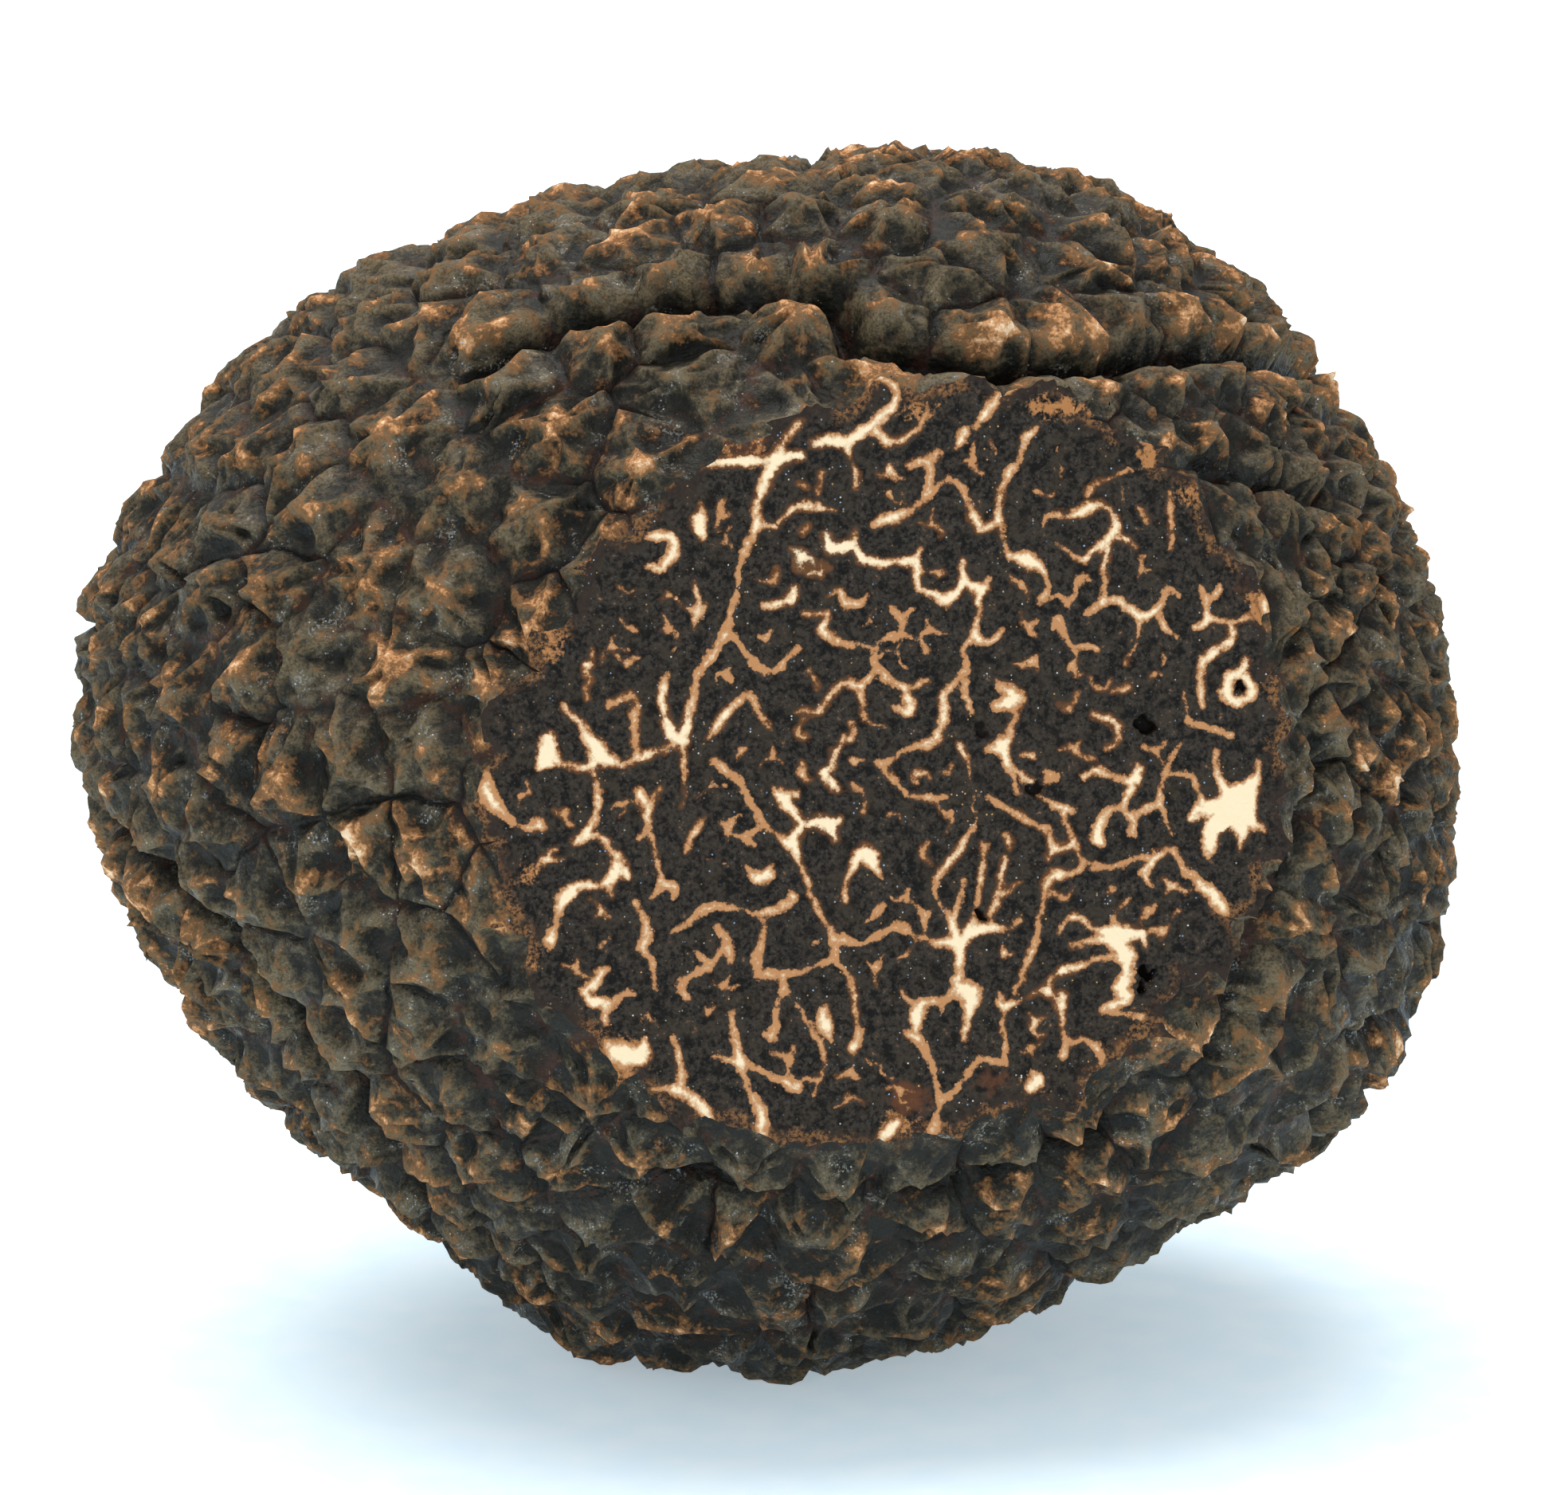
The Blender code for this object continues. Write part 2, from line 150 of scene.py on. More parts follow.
# The main veins, laid one by one over the slice: tone from cream (0) to orange (1), then points
# (across, up, half-width) counted from the slice's middle.
VEINS = (
    (0.35, (-2.8, 11.0, 0.10), (-3.4, 10.3, 0.12), (-3.5, 9.8, 0.20), (-3.9, 9.2, 0.21), (-4.3, 8.0, 0.15),
     (-4.2, 7.6, 0.20), (-4.8, 6.3, 0.11), (-4.9, 5.3, 0.12), (-5.3, 3.9, 0.16), (-6.2, 2.5, 0.17),
     (-6.4, 1.5, 0.10), (-6.7, 0.4, 0.22)),
    (0.1, (-4.2, 7.6, 0.16), (-3.6, 7.6, 0.11), (-2.9, 8.2, 0.12), (-2.2, 8.2, 0.13), (-1.6, 8.1, 0.04)),
    (0.1, (-6.3, 9.5, 0.05), (-5.2, 9.7, 0.16), (-4.3, 9.7, 0.15), (-3.5, 9.8, 0.18), (-2.8, 9.9, 0.13)),
    (0.0, (-7.8, 7.2, 0.20), (-7.2, 7.2, 0.21), (-7.0, 6.7, 0.25), (-7.4, 6.2, 0.20), (-7.9, 6.2, 0.08)),
    (0.3, (-6.1, 8.3, 0.05), (-6.1, 8.0, 0.18), (-6.2, 7.6, 0.25), (-6.1, 7.2, 0.11)),
    (0.1, (-6.3, 5.7, 0.07), (-6.2, 4.7, 0.16), (-6.3, 4.1, 0.06)),
    (0.1, (-5.9, 5.0, 0.07), (-6.2, 4.7, 0.16), (-6.5, 4.9, 0.06)),
    (0.2, (-7.2, 2.6, 0.10), (-7.4, 2.1, 0.18), (-7.3, 1.3, 0.12), (-7.1, 0.7, 0.25), (-6.7, 0.4, 0.23)),
    (0.1, (-10.7, 1.5, 0.08), (-10.2, 1.1, 0.13), (-9.9, 0.6, 0.20), (-9.5, 0.0, 0.37), (-9.3, -0.3, 0.18)),
    (0.0, (-11.2, 0.5, 0.20), (-11.2, 0.0, 0.40), (-11.4, -0.4, 0.23)),
    (0.25, (-11.1, -0.1, 0.27), (-10.6, -0.4, 0.12), (-9.9, -0.5, 0.14), (-9.4, -0.1, 0.30),
     (-8.7, -0.4, 0.13), (-8.2, -0.2, 0.16), (-7.3, 0.1, 0.11), (-6.7, 0.4, 0.21)),
    (0.8, (-9.1, 1.6, 0.16), (-8.3, 1.9, 0.12), (-8.3, 1.0, 0.20), (-8.3, 0.4, 0.09), (-8.2, -0.2, 0.18)),
    (0.15, (-3.0, 5.4, 0.18), (-3.1, 5.1, 0.18), (-4.0, 4.9, 0.09)),
    (0.35, (-5.3, 3.9, 0.14), (-4.9, 3.8, 0.14), (-4.1, 2.8, 0.16), (-3.5, 2.8, 0.16), (-2.8, 3.5, 0.11)),
    (0.3, (-5.8, 0.5, 0.08), (-5.2, 1.3, 0.20), (-4.6, 1.9, 0.14), (-4.3, 1.7, 0.16), (-3.8, 0.8, 0.09)),
    (0.1, (-2.3, 10.3, 0.11), (-1.8, 10.4, 0.21), (-1.1, 10.4, 0.20), (-0.6, 10.8, 0.23), (0.2, 11.4, 0.23),
     (0.5, 11.9, 0.18), (0.2, 12.4, 0.16), (-0.4, 12.5, 0.10)),
    (0.2, (-1.2, 10.2, 0.13), (-1.1, 9.8, 0.07), (-0.9, 9.3, 0.12), (-0.9, 8.8, 0.08)),
    (0.3, (-0.2, 10.7, 0.20), (0.3, 10.3, 0.16), (0.9, 10.6, 0.10), (1.4, 11.1, 0.11), (1.5, 11.7, 0.09)),
    (0.05, (-1.9, 7.2, 0.12), (-1.7, 6.8, 0.16), (-1.0, 6.9, 0.18), (-0.6, 6.5, 0.18), (0.1, 6.3, 0.16),
     (0.7, 6.4, 0.16), (1.2, 6.3, 0.20), (1.3, 5.5, 0.18), (1.8, 5.3, 0.16), (2.2, 5.1, 0.24),
     (2.8, 5.7, 0.16),
     (2.8, 6.4, 0.08)),
    (0.1, (-1.0, 6.9, 0.16), (-0.9, 7.4, 0.07)),
    (0.1, (1.2, 6.4, 0.18), (1.3, 6.8, 0.06)),
    (0.35, (2.8, 5.7, 0.14), (3.4, 5.5, 0.22), (3.7, 5.8, 0.10)),
    (0.25, (3.4, 5.5, 0.18), (3.3, 4.4, 0.10), (3.2, 3.9, 0.22), (3.7, 3.7, 0.15), (4.2, 4.1, 0.05)),
    (0.2, (3.1, 3.8, 0.13), (2.8, 3.5, 0.10), (2.9, 2.8, 0.16), (2.2, 2.0, 0.14), (2.2, 1.4, 0.16),
     (2.0, 0.5, 0.12)),
    (0.1, (2.9, 2.7, 0.14), (2.9, 2.0, 0.14), (3.1, 1.4, 0.10)),
    (0.55, (2.0, 0.5, 0.11), (1.6, 0.3, 0.20), (1.1, 0.2, 0.11), (0.0, -0.4, 0.13)),
    (0.5, (-1.8, 5.2, 0.06), (-1.4, 5.4, 0.16), (-1.2, 5.0, 0.18), (-0.7, 5.0, 0.12), (-0.5, 5.2, 0.06)),
    (0.5, (-2.6, 4.6, 0.05), (-1.8, 4.6, 0.12), (-2.0, 4.1, 0.16), (-1.4, 3.7, 0.16), (-0.1, 3.5, 0.09)),
    (0.5, (0.3, 4.9, 0.06), (0.7, 4.5, 0.16), (0.7, 4.0, 0.12), (0.1, 3.8, 0.09), (-0.2, 3.4, 0.11),
     (-0.1, 2.8, 0.14), (0.8, 2.2, 0.15), (1.6, 2.4, 0.08)),
    (0.3, (0.7, 4.5, 0.14), (1.1, 4.8, 0.05)),
    (0.3, (0.7, 4.0, 0.08), (1.2, 3.8, 0.06), (1.6, 3.4, 0.13)),
    (0.15, (0.8, 2.2, 0.12), (1.0, 1.4, 0.25), (0.4, 1.5, 0.10)),
    (0.5, (-0.1, 2.8, 0.11), (-0.6, 2.2, 0.16), (-0.6, 1.6, 0.10), (-0.5, 1.1, 0.06)),
    (0.5, (-2.9, 1.4, 0.06), (-2.1, 1.4, 0.12), (-1.3, 2.3, 0.11), (-0.6, 2.2, 0.18)),
    (0.4, (4.6, 12.3, 0.11), (3.9, 11.9, 0.18), (3.5, 11.3, 0.20), (3.2, 10.9, 0.10)),
    (0.1, (2.8, 10.8, 0.16), (2.7, 10.5, 0.16), (2.5, 10.2, 0.06)),
    (0.5, (0.9, 9.6, 0.10), (1.6, 9.7, 0.16), (1.5, 8.6, 0.16), (1.1, 8.2, 0.12), (0.5, 7.9, 0.24),
     (-0.3, 7.6, 0.08)),
    (0.4, (1.6, 9.7, 0.14), (1.9, 10.0, 0.14)),
    (0.5, (1.5, 8.6, 0.14), (2.0, 9.0, 0.11), (2.5, 9.1, 0.11), (3.0, 8.3, 0.16), (3.4, 7.5, 0.16),
     (4.0, 7.8, 0.14)),
    (0.2, (5.3, 10.9, 0.13), (4.9, 10.5, 0.18), (4.7, 9.8, 0.14), (4.2, 9.2, 0.17), (4.0, 8.0, 0.11),
     (4.2, 7.2, 0.11), (4.3, 6.7, 0.15), (4.9, 6.5, 0.34), (5.4, 6.2, 0.25), (5.7, 5.6, 0.09),
     (5.5, 5.1, 0.13)),
    (0.2, (5.5, 7.5, 0.07), (5.7, 8.0, 0.13), (6.3, 7.9, 0.10), (6.9, 8.1, 0.25), (7.6, 8.3, 0.10),
     (8.0, 7.8, 0.16), (7.9, 7.3, 0.16), (7.3, 6.8, 0.15), (6.8, 6.5, 0.13), (6.0, 7.0, 0.07)),
    (0.25, (7.9, 7.3, 0.11), (8.4, 7.1, 0.10), (8.7, 6.9, 0.05)),
    (0.8, (7.0, 8.7, 0.07), (7.5, 9.1, 0.09), (8.5, 9.5, 0.09)),
    (0.2, (7.7, 6.9, 0.12), (7.6, 5.9, 0.11), (7.6, 5.1, 0.16), (7.1, 4.7, 0.11)),
    (0.05, (7.6, 5.1, 0.14), (8.2, 5.1, 0.13), (8.9, 4.6, 0.20), (9.5, 4.8, 0.18), (9.8, 5.5, 0.16),
     (10.2, 5.3, 0.08)),
    (0.2, (8.9, 4.6, 0.14), (8.7, 3.6, 0.07), (8.4, 3.0, 0.05)),
    (0.25, (9.5, 4.7, 0.14), (9.7, 4.3, 0.12), (10.1, 3.9, 0.07)),
    (0.8, (9.9, 8.8, 0.09), (9.9, 7.7, 0.09), (9.9, 6.9, 0.08)),
    (0.2, (11.0, 5.6, 0.10), (11.1, 5.1, 0.16), (11.2, 4.5, 0.23), (10.8, 4.2, 0.12)),
    (0.2, (11.1, 5.1, 0.14), (11.6, 5.5, 0.12)),
    (0.4, (11.2, 4.5, 0.16), (12.1, 4.4, 0.08), (12.7, 4.6, 0.09)),
    (0.2, (12.0, 4.3, 0.09), (12.0, 3.8, 0.16), (11.1, 3.1, 0.18), (11.0, 2.4, 0.12), (11.1, 1.6, 0.15)),
    (0.0, (12.6, 3.1, 0.06), (12.4, 2.7, 0.14), (12.0, 2.5, 0.22), (11.9, 1.9, 0.26), (12.4, 1.7, 0.20),
     (12.8, 2.1, 0.24), (12.4, 2.7, 0.12)),
    (0.6, (13.1, 5.1, 0.24), (13.4, 4.6, 0.24), (13.7, 4.2, 0.11)),
    (0.2, (10.4, 2.1, 0.05), (10.6, 1.1, 0.10), (11.1, 0.9, 0.13), (12.1, 0.6, 0.11)),
    (0.4, (5.9, 4.2, 0.10), (6.1, 4.5, 0.14), (6.4, 3.6, 0.11), (7.1, 3.6, 0.07), (7.4, 3.5, 0.11)),
    (0.7, (4.0, 2.4, 0.11), (4.6, 1.8, 0.34), (4.0, 1.6, 0.22)),
    (0.5, (4.6, 1.8, 0.16), (4.5, 1.0, 0.14), (4.2, 0.2, 0.25), (3.7, 0.1, 0.11)),
    (0.2, (4.2, 0.3, 0.22), (4.3, -0.2, 0.19), (4.5, -0.8, 0.14), (4.8, -1.4, 0.05)),
    (0.15, (4.5, -0.5, 0.11), (5.1, -0.9, 0.14), (5.7, -1.6, 0.08), (6.5, -1.9, 0.22)),
    (0.35, (7.3, 1.3, 0.08), (8.1, 1.0, 0.15), (8.2, 0.5, 0.13), (7.8, 0.2, 0.09)),
    (0.2, (-9.7, -0.6, 0.12), (-9.5, -1.1, 0.12), (-9.5, -1.8, 0.13), (-9.9, -2.7, 0.20),
     (-10.3, -3.0, 0.12)),
    (0.2, (-9.9, -2.7, 0.16), (-9.3, -2.9, 0.13), (-8.8, -3.7, 0.20), (-9.2, -4.3, 0.16), (-9.8, -4.4, 0.16),
     (-10.3, -4.5, 0.21), (-10.7, -4.9, 0.28), (-10.8, -5.4, 0.11), (-11.1, -6.2, 0.30)),
    (0.15, (-8.8, -3.7, 0.18), (-8.5, -4.1, 0.14)),
    (0.15, (-9.2, -4.3, 0.14), (-9.0, -4.7, 0.12)),
    (0.4, (-6.7, 0.2, 0.12), (-6.6, -0.4, 0.10), (-6.6, -1.4, 0.05), (-6.7, -1.8, 0.05)),
    (0.65, (-13.3, -0.6, 0.07), (-13.2, -1.3, 0.32), (-12.9, -1.8, 0.26), (-12.4, -2.3, 0.13),
     (-12.0, -2.5, 0.10), (-11.5, -2.4, 0.28)),
    (0.5, (-8.1, -1.3, 0.19), (-7.9, -1.8, 0.20), (-7.8, -2.4, 0.16), (-8.1, -2.9, 0.06)),
    (0.8, (-7.9, -1.8, 0.12), (-7.4, -1.2, 0.09)),
    (0.2, (-7.8, -2.4, 0.12), (-7.4, -3.9, 0.10), (-7.3, -4.4, 0.18), (-6.9, -4.5, 0.16),
     (-7.0, -4.8, 0.07)),
    (0.2, (-7.3, -4.4, 0.12), (-7.7, -4.8, 0.10)),
    (0.4, (-5.9, -2.1, 0.05), (-6.4, -2.9, 0.10), (-6.5, -3.3, 0.09)),
    (0.6, (-5.6, -0.3, 0.18), (-4.8, -0.9, 0.13), (-4.6, -1.3, 0.15), (-3.9, -2.4, 0.13), (-3.6, -2.7, 0.08),
     (-2.9, -3.1, 0.18)),
    (0.3, (-3.6, -1.1, 0.08), (-3.3, -1.5, 0.21), (-2.6, -2.3, 0.15), (-2.0, -2.3, 0.20), (-1.6, -2.4, 0.21),
     (-1.3, -2.2, 0.07)),
    (0.3, (-3.3, -1.5, 0.18), (-2.8, -1.4, 0.08)),
    (0.2, (-1.6, -2.4, 0.16), (-1.5, -2.9, 0.09)),
    (0.3, (-2.6, -2.4, 0.12), (-2.9, -3.1, 0.18), (-2.6, -3.8, 0.06), (-2.1, -5.1, 0.09),
     (-1.5, -6.2, 0.18)),
    (0.6, (-1.5, -6.2, 0.18), (-1.1, -6.3, 0.20), (-0.5, -6.4, 0.10), (0.2, -6.0, 0.13), (0.7, -5.8, 0.20),
     (1.2, -6.1, 0.11), (1.7, -6.3, 0.14), (2.8, -6.4, 0.24)),
    (0.4, (-1.5, -6.2, 0.16), (-1.4, -6.8, 0.15), (-2.0, -7.1, 0.11), (-2.6, -7.3, 0.12), (-3.2, -7.4, 0.14),
     (-4.0, -7.4, 0.20), (-4.1, -6.9, 0.20), (-3.9, -6.3, 0.11), (-3.9, -5.8, 0.08), (-4.0, -5.4, 0.13)),
    (0.25, (-3.0, -4.6, 0.05), (-3.0, -5.0, 0.18), (-4.0, -5.4, 0.12), (-4.6, -5.2, 0.08),
     (-5.4, -5.1, 0.16),
     (-6.0, -5.3, 0.20), (-6.5, -5.7, 0.12), (-7.0, -6.0, 0.08)),
    (0.4, (-3.2, -7.4, 0.13), (-3.2, -7.9, 0.14), (-3.4, -8.5, 0.12), (-3.5, -9.4, 0.20),
     (-3.8, -9.4, 0.08)),
    (0.15, (-3.1, -7.9, 0.09), (-2.8, -8.4, 0.08), (-2.0, -9.6, 0.13), (-1.7, -10.4, 0.04)),
    (0.5, (-1.4, -7.0, 0.12), (-0.9, -7.5, 0.11), (-0.8, -8.1, 0.10), (-0.6, -9.5, 0.12),
     (-0.8, -9.9, 0.22)),
    (0.3, (-1.8, -8.6, 0.17), (-1.8, -9.1, 0.27), (-1.6, -9.6, 0.14)),
    (0.1, (-4.6, -3.8, 0.05), (-4.0, -4.2, 0.27), (-3.7, -3.8, 0.07)),
    (0.1, (-4.0, -4.2, 0.20), (-3.6, -4.1, 0.07)),
    (0.2, (-8.2, -5.0, 0.11), (-7.8, -5.9, 0.18), (-8.0, -6.5, 0.25), (-7.7, -6.9, 0.12),
     (-7.5, -7.9, 0.05)),
    (0.35, (-5.4, -5.8, 0.15), (-5.1, -6.4, 0.21), (-5.0, -7.0, 0.12)),
    (0.3, (-5.1, -6.4, 0.15), (-5.7, -7.0, 0.18), (-6.2, -6.6, 0.07)),
    (0.2, (-5.7, -7.1, 0.14), (-6.7, -7.7, 0.20), (-6.4, -8.2, 0.07)),
    (0.4, (-9.2, -7.2, 0.14), (-9.6, -7.7, 0.24), (-9.9, -8.0, 0.20), (-9.2, -8.4, 0.22), (-8.7, -8.1, 0.11),
     (-8.2, -8.0, 0.07)),
    (0.3, (-9.2, -8.4, 0.20), (-9.2, -8.9, 0.18)),
    (0.3, (-9.1, -9.6, 0.14), (-8.8, -10.0, 0.44), (-8.1, -10.1, 0.40), (-7.9, -9.6, 0.20)),
    (0.3, (-6.9, -9.5, 0.12), (-6.7, -10.1, 0.12), (-6.6, -11.2, 0.20)),
    (0.05, (-7.6, -11.2, 0.07), (-6.6, -11.3, 0.22), (-5.8, -12.0, 0.21), (-5.3, -12.9, 0.12)),
    (0.2, (-4.9, -8.7, 0.16), (-4.9, -9.2, 0.14), (-4.6, -10.4, 0.18), (-4.4, -11.1, 0.11),
     (-3.9, -12.0, 0.28),
     (-3.9, -12.7, 0.25)),
    (0.15, (-5.5, -10.1, 0.08), (-4.6, -10.4, 0.16), (-3.8, -10.7, 0.11), (-2.7, -11.2, 0.20)),
    (0.35, (-1.1, -4.9, 0.18), (-1.1, -4.3, 0.08), (-0.6, -3.4, 0.23), (-0.3, -3.5, 0.33),
     (0.1, -4.2, 0.08)),
    (0.2, (-1.5, 0.1, 0.10), (-1.6, -0.5, 0.11), (-1.9, -0.7, 0.18), (-1.4, -1.2, 0.06)),
    (0.5, (-0.9, -1.1, 0.13), (-0.5, -1.4, 0.11), (-0.5, -2.0, 0.07)),
    (0.1, (2.8, -6.4, 0.24), (3.1, -6.1, 0.20), (3.5, -5.9, 0.25), (4.5, -5.9, 0.08), (4.8, -5.6, 0.14)),
    (0.4, (3.1, -6.0, 0.13), (3.4, -5.1, 0.07), (3.6, -3.1, 0.12)),
    (0.3, (3.7, -5.9, 0.11), (4.1, -4.8, 0.12), (4.3, -3.6, 0.10)),
    (0.3, (4.1, -4.8, 0.11), (4.8, -4.4, 0.06)),
    (0.1, (2.8, -6.5, 0.18), (2.8, -7.3, 0.20), (2.7, -7.8, 0.24), (3.2, -8.1, 0.44), (3.1, -8.9, 0.22),
     (3.0, -9.6, 0.08)),
    (0.05, (2.7, -7.8, 0.20), (2.3, -8.3, 0.16), (1.6, -8.4, 0.22), (1.4, -8.8, 0.30), (1.3, -9.3, 0.12)),
    (0.05, (1.6, -8.4, 0.14), (1.1, -8.4, 0.12), (0.9, -8.0, 0.05)),
    (0.05, (2.3, -8.4, 0.12), (2.2, -8.8, 0.05)),
    (0.3, (3.2, -1.4, 0.05), (3.2, -2.5, 0.10), (2.4, -3.7, 0.14), (1.9, -4.4, 0.18), (2.0, -4.9, 0.08),
     (2.5, -5.7, 0.20), (2.8, -6.4, 0.20)),
    (0.1, (2.5, -5.6, 0.18), (2.7, -5.2, 0.13), (2.9, -4.3, 0.08)),
    (0.2, (2.7, 0.3, 0.07), (3.0, -0.2, 0.09), (3.2, -1.4, 0.05)),
    (0.4, (0.0, -0.4, 0.14), (1.0, -1.4, 0.10), (1.6, -1.5, 0.15), (2.3, -1.5, 0.10)),
    (0.6, (3.7, -1.5, 0.11), (4.6, -2.0, 0.14), (5.8, -2.6, 0.07)),
    (0.4, (6.5, -1.9, 0.20), (6.4, -2.3, 0.10), (7.0, -3.6, 0.08), (7.9, -3.9, 0.12), (8.7, -3.6, 0.13),
     (9.5, -3.5, 0.18), (10.1, -3.3, 0.14), (10.6, -4.0, 0.14), (11.6, -4.9, 0.24), (12.0, -5.5, 0.10)),
    (0.1, (9.5, -3.5, 0.16), (9.1, -4.1, 0.16), (9.4, -4.5, 0.07)),
    (0.6, (7.0, -3.6, 0.08), (6.8, -4.0, 0.13), (5.9, -4.2, 0.20), (5.6, -5.2, 0.08), (5.4, -6.4, 0.14),
     (4.7, -8.0, 0.07)),
    (0.2, (7.0, -0.8, 0.13), (7.5, -0.6, 0.13), (8.3, -0.9, 0.13), (8.7, -0.9, 0.25), (8.9, -0.5, 0.20)),
    (0.2, (8.7, -0.9, 0.14), (8.4, -1.9, 0.13), (8.7, -2.2, 0.20), (8.7, -2.7, 0.17)),
    (0.3, (8.4, -1.9, 0.12), (7.8, -2.0, 0.14), (7.5, -2.8, 0.25), (7.7, -3.1, 0.11)),
    (0.1, (8.7, -2.2, 0.16), (9.6, -1.7, 0.14), (10.0, -2.7, 0.07)),
    (0.2, (9.6, -1.7, 0.12), (9.8, -0.7, 0.09), (10.3, 0.3, 0.09)),
    (0.2, (9.9, -0.7, 0.09), (10.7, -0.8, 0.14), (11.0, -1.3, 0.14), (11.1, -1.8, 0.16)),
    (0.0, (11.5, 0.0, 0.14), (11.6, -0.6, 0.16), (11.9, -1.3, 0.33), (12.3, -1.7, 0.68)),
    (0.1, (13.0, -0.3, 0.12), (12.9, -0.9, 0.25), (12.3, -1.7, 0.60)),
    (0.0, (12.1, -1.8, 0.50), (11.2, -1.9, 0.22), (10.7, -2.2, 0.14)),
    (0.0, (12.1, -2.0, 0.45), (11.5, -2.5, 0.36), (11.4, -3.0, 0.30), (11.3, -3.6, 0.09)),
    (0.05, (12.4, -2.0, 0.45), (12.5, -2.7, 0.24), (12.4, -3.3, 0.05)),
    (0.3, (12.4, -1.9, 0.45), (12.8, -2.3, 0.22), (13.2, -2.6, 0.05)),
    (0.1, (6.2, -6.0, 0.08), (6.7, -5.5, 0.14), (7.5, -5.9, 0.16), (8.1, -6.1, 0.40), (9.0, -6.1, 0.20),
     (9.2, -6.5, 0.09)),
    (0.2, (8.0, -6.2, 0.25), (7.1, -6.4, 0.14), (6.6, -6.5, 0.11)),
    (0.4, (8.2, -5.8, 0.16), (8.1, -5.5, 0.08), (8.6, -4.9, 0.05)),
    (0.1, (8.1, -6.2, 0.36), (8.4, -6.7, 0.36), (8.6, -7.2, 0.28), (8.4, -7.9, 0.36), (8.5, -8.3, 0.26),
     (7.8, -8.6, 0.15)),
    (0.2, (7.8, -8.7, 0.12), (8.4, -8.8, 0.13), (9.1, -8.9, 0.14)),
    (0.2, (8.4, -6.9, 0.20), (7.8, -6.9, 0.14), (6.3, -7.4, 0.15)),
    (0.3, (4.2, -8.1, 0.08), (4.3, -8.5, 0.20), (4.9, -8.3, 0.11)),
    (0.3, (4.3, -8.6, 0.09), (4.3, -9.4, 0.06), (4.4, -10.4, 0.17), (3.5, -10.3, 0.13), (2.8, -11.3, 0.11),
     (2.2, -11.7, 0.18)),
    (0.4, (6.4, -8.2, 0.16), (6.3, -8.8, 0.11), (6.5, -9.7, 0.11), (6.4, -10.2, 0.16)),
    (0.6, (6.5, -9.8, 0.11), (7.1, -9.7, 0.12), (7.6, -10.0, 0.18), (7.7, -10.5, 0.13)),
    (0.2, (5.5, -11.0, 0.33), (5.2, -11.3, 0.20)),
    (0.6, (1.0, -9.4, 0.16), (1.4, -9.6, 0.24), (1.9, -10.4, 0.14), (2.0, -11.0, 0.08), (2.2, -11.6, 0.20),
     (2.1, -12.1, 0.12), (2.0, -12.7, 0.20)),
    (0.2, (0.8, -12.3, 0.16), (0.5, -12.6, 0.25), (0.1, -13.1, 0.12)),
)

# Pits in the slice: place (across, up), radius and depth.
PITS = (
    (9.1, 0.9, 0.40, 0.45),
    (9.2, -7.4, 0.34, 0.55),
    (9.1, -8.0, 0.26, 0.45),
    (5.3, -1.2, 0.30, 0.25),
    (3.6, -5.4, 0.22, 0.30),
    (3.5, 0.7, 0.35, 0.20),
    (12.4, 2.2, 0.30, 0.30),
)
# Reddish, translucent patches: place (across, up), half-sizes and strength.
RED_PATCHES = (
    (-4.7, 10.4, 1.1, 0.7, 0.8),
    (1.1, -11.6, 0.9, 0.7, 0.9),
    (3.9, -11.0, 0.8, 0.5, 0.7),
    (8.5, -9.8, 0.5, 0.4, 0.5),
    (10.8, 9.1, 0.5, 0.8, 0.5),
    (12.4, 5.6, 0.6, 0.5, 0.5),
)
# Orange crumbs near the rim, in the same way.
EMBERS = (
    (-5.2, 10.3, 1.8, 0.5, 0.6),
    (-4.2, 9.9, 0.6, 0.6, 0.8),
    (-11.1, 3.6, 0.5, 0.9, 0.8),
    (-10.2, 6.4, 0.5, 1.2, 0.6),
    (-8.7, -10.2, 0.9, 0.9, 1.0),
    (-12.2, -6.9, 0.9, 0.35, 0.9),
    (-11.8, -4.0, 0.4, 0.5, 0.7),
    (0.7, -12.4, 0.7, 0.5, 0.9),
    (5.4, -11.1, 0.45, 0.4, 0.9),
    (6.0, 11.6, 1.6, 0.45, 0.9),
    (9.1, 10.0, 0.5, 0.6, 0.9),
    (10.6, 8.7, 0.7, 0.5, 0.8),
    (13.0, 4.9, 0.55, 0.75, 1.0),
    (1.2, 11.4, 0.9, 0.4, 0.7),
)


# Small tools for points and noise


def unit(vectors):
    """Vectors scaled to length 1."""
    vectors = np.asarray(vectors, float)
    return vectors / np.linalg.norm(vectors, axis=-1, keepdims=True)


def smooth_step(value, low, high):
    """0 below low, 1 above high and a smooth slope between them."""
    t = np.clip((value - low) / (high - low), 0, 1)
    return t * t * (3 - 2 * t)


def lattice_draws(cells, seed):
    """A random direction for each cell of a lattice, the same each time."""
    rng = np.random.default_rng(seed)
    table = rng.permutation(256)
    draws = unit(rng.normal(size=(256, 3)))
    x, y, z = (cells & 255).T
    return draws[table[(table[(table[x] + y) & 255] + z) & 255]]


def noise(points, size, seed):
    """Smooth noise between about -1 and 1 whose features are about size wide."""
    places = points / size
    cells = np.floor(places).astype(np.int64)
    inside = places - cells
    fade = inside**3 * (inside * (inside * 6 - 15) + 10)
    total = np.zeros(len(points))
    for corner in itertools.product((0, 1), repeat=3):
        weight = np.where(corner, fade, 1 - fade).prod(axis=1)
        total += weight * ((inside - corner) * lattice_draws(cells + corner, seed)).sum(axis=1)
    return total * 1.6


def layered_noise(points, size, seed, layers):
    """Noise with finer and fainter layers added."""
    return sum(noise(points, size / 2**k, seed + k) / 2**k for k in range(layers))


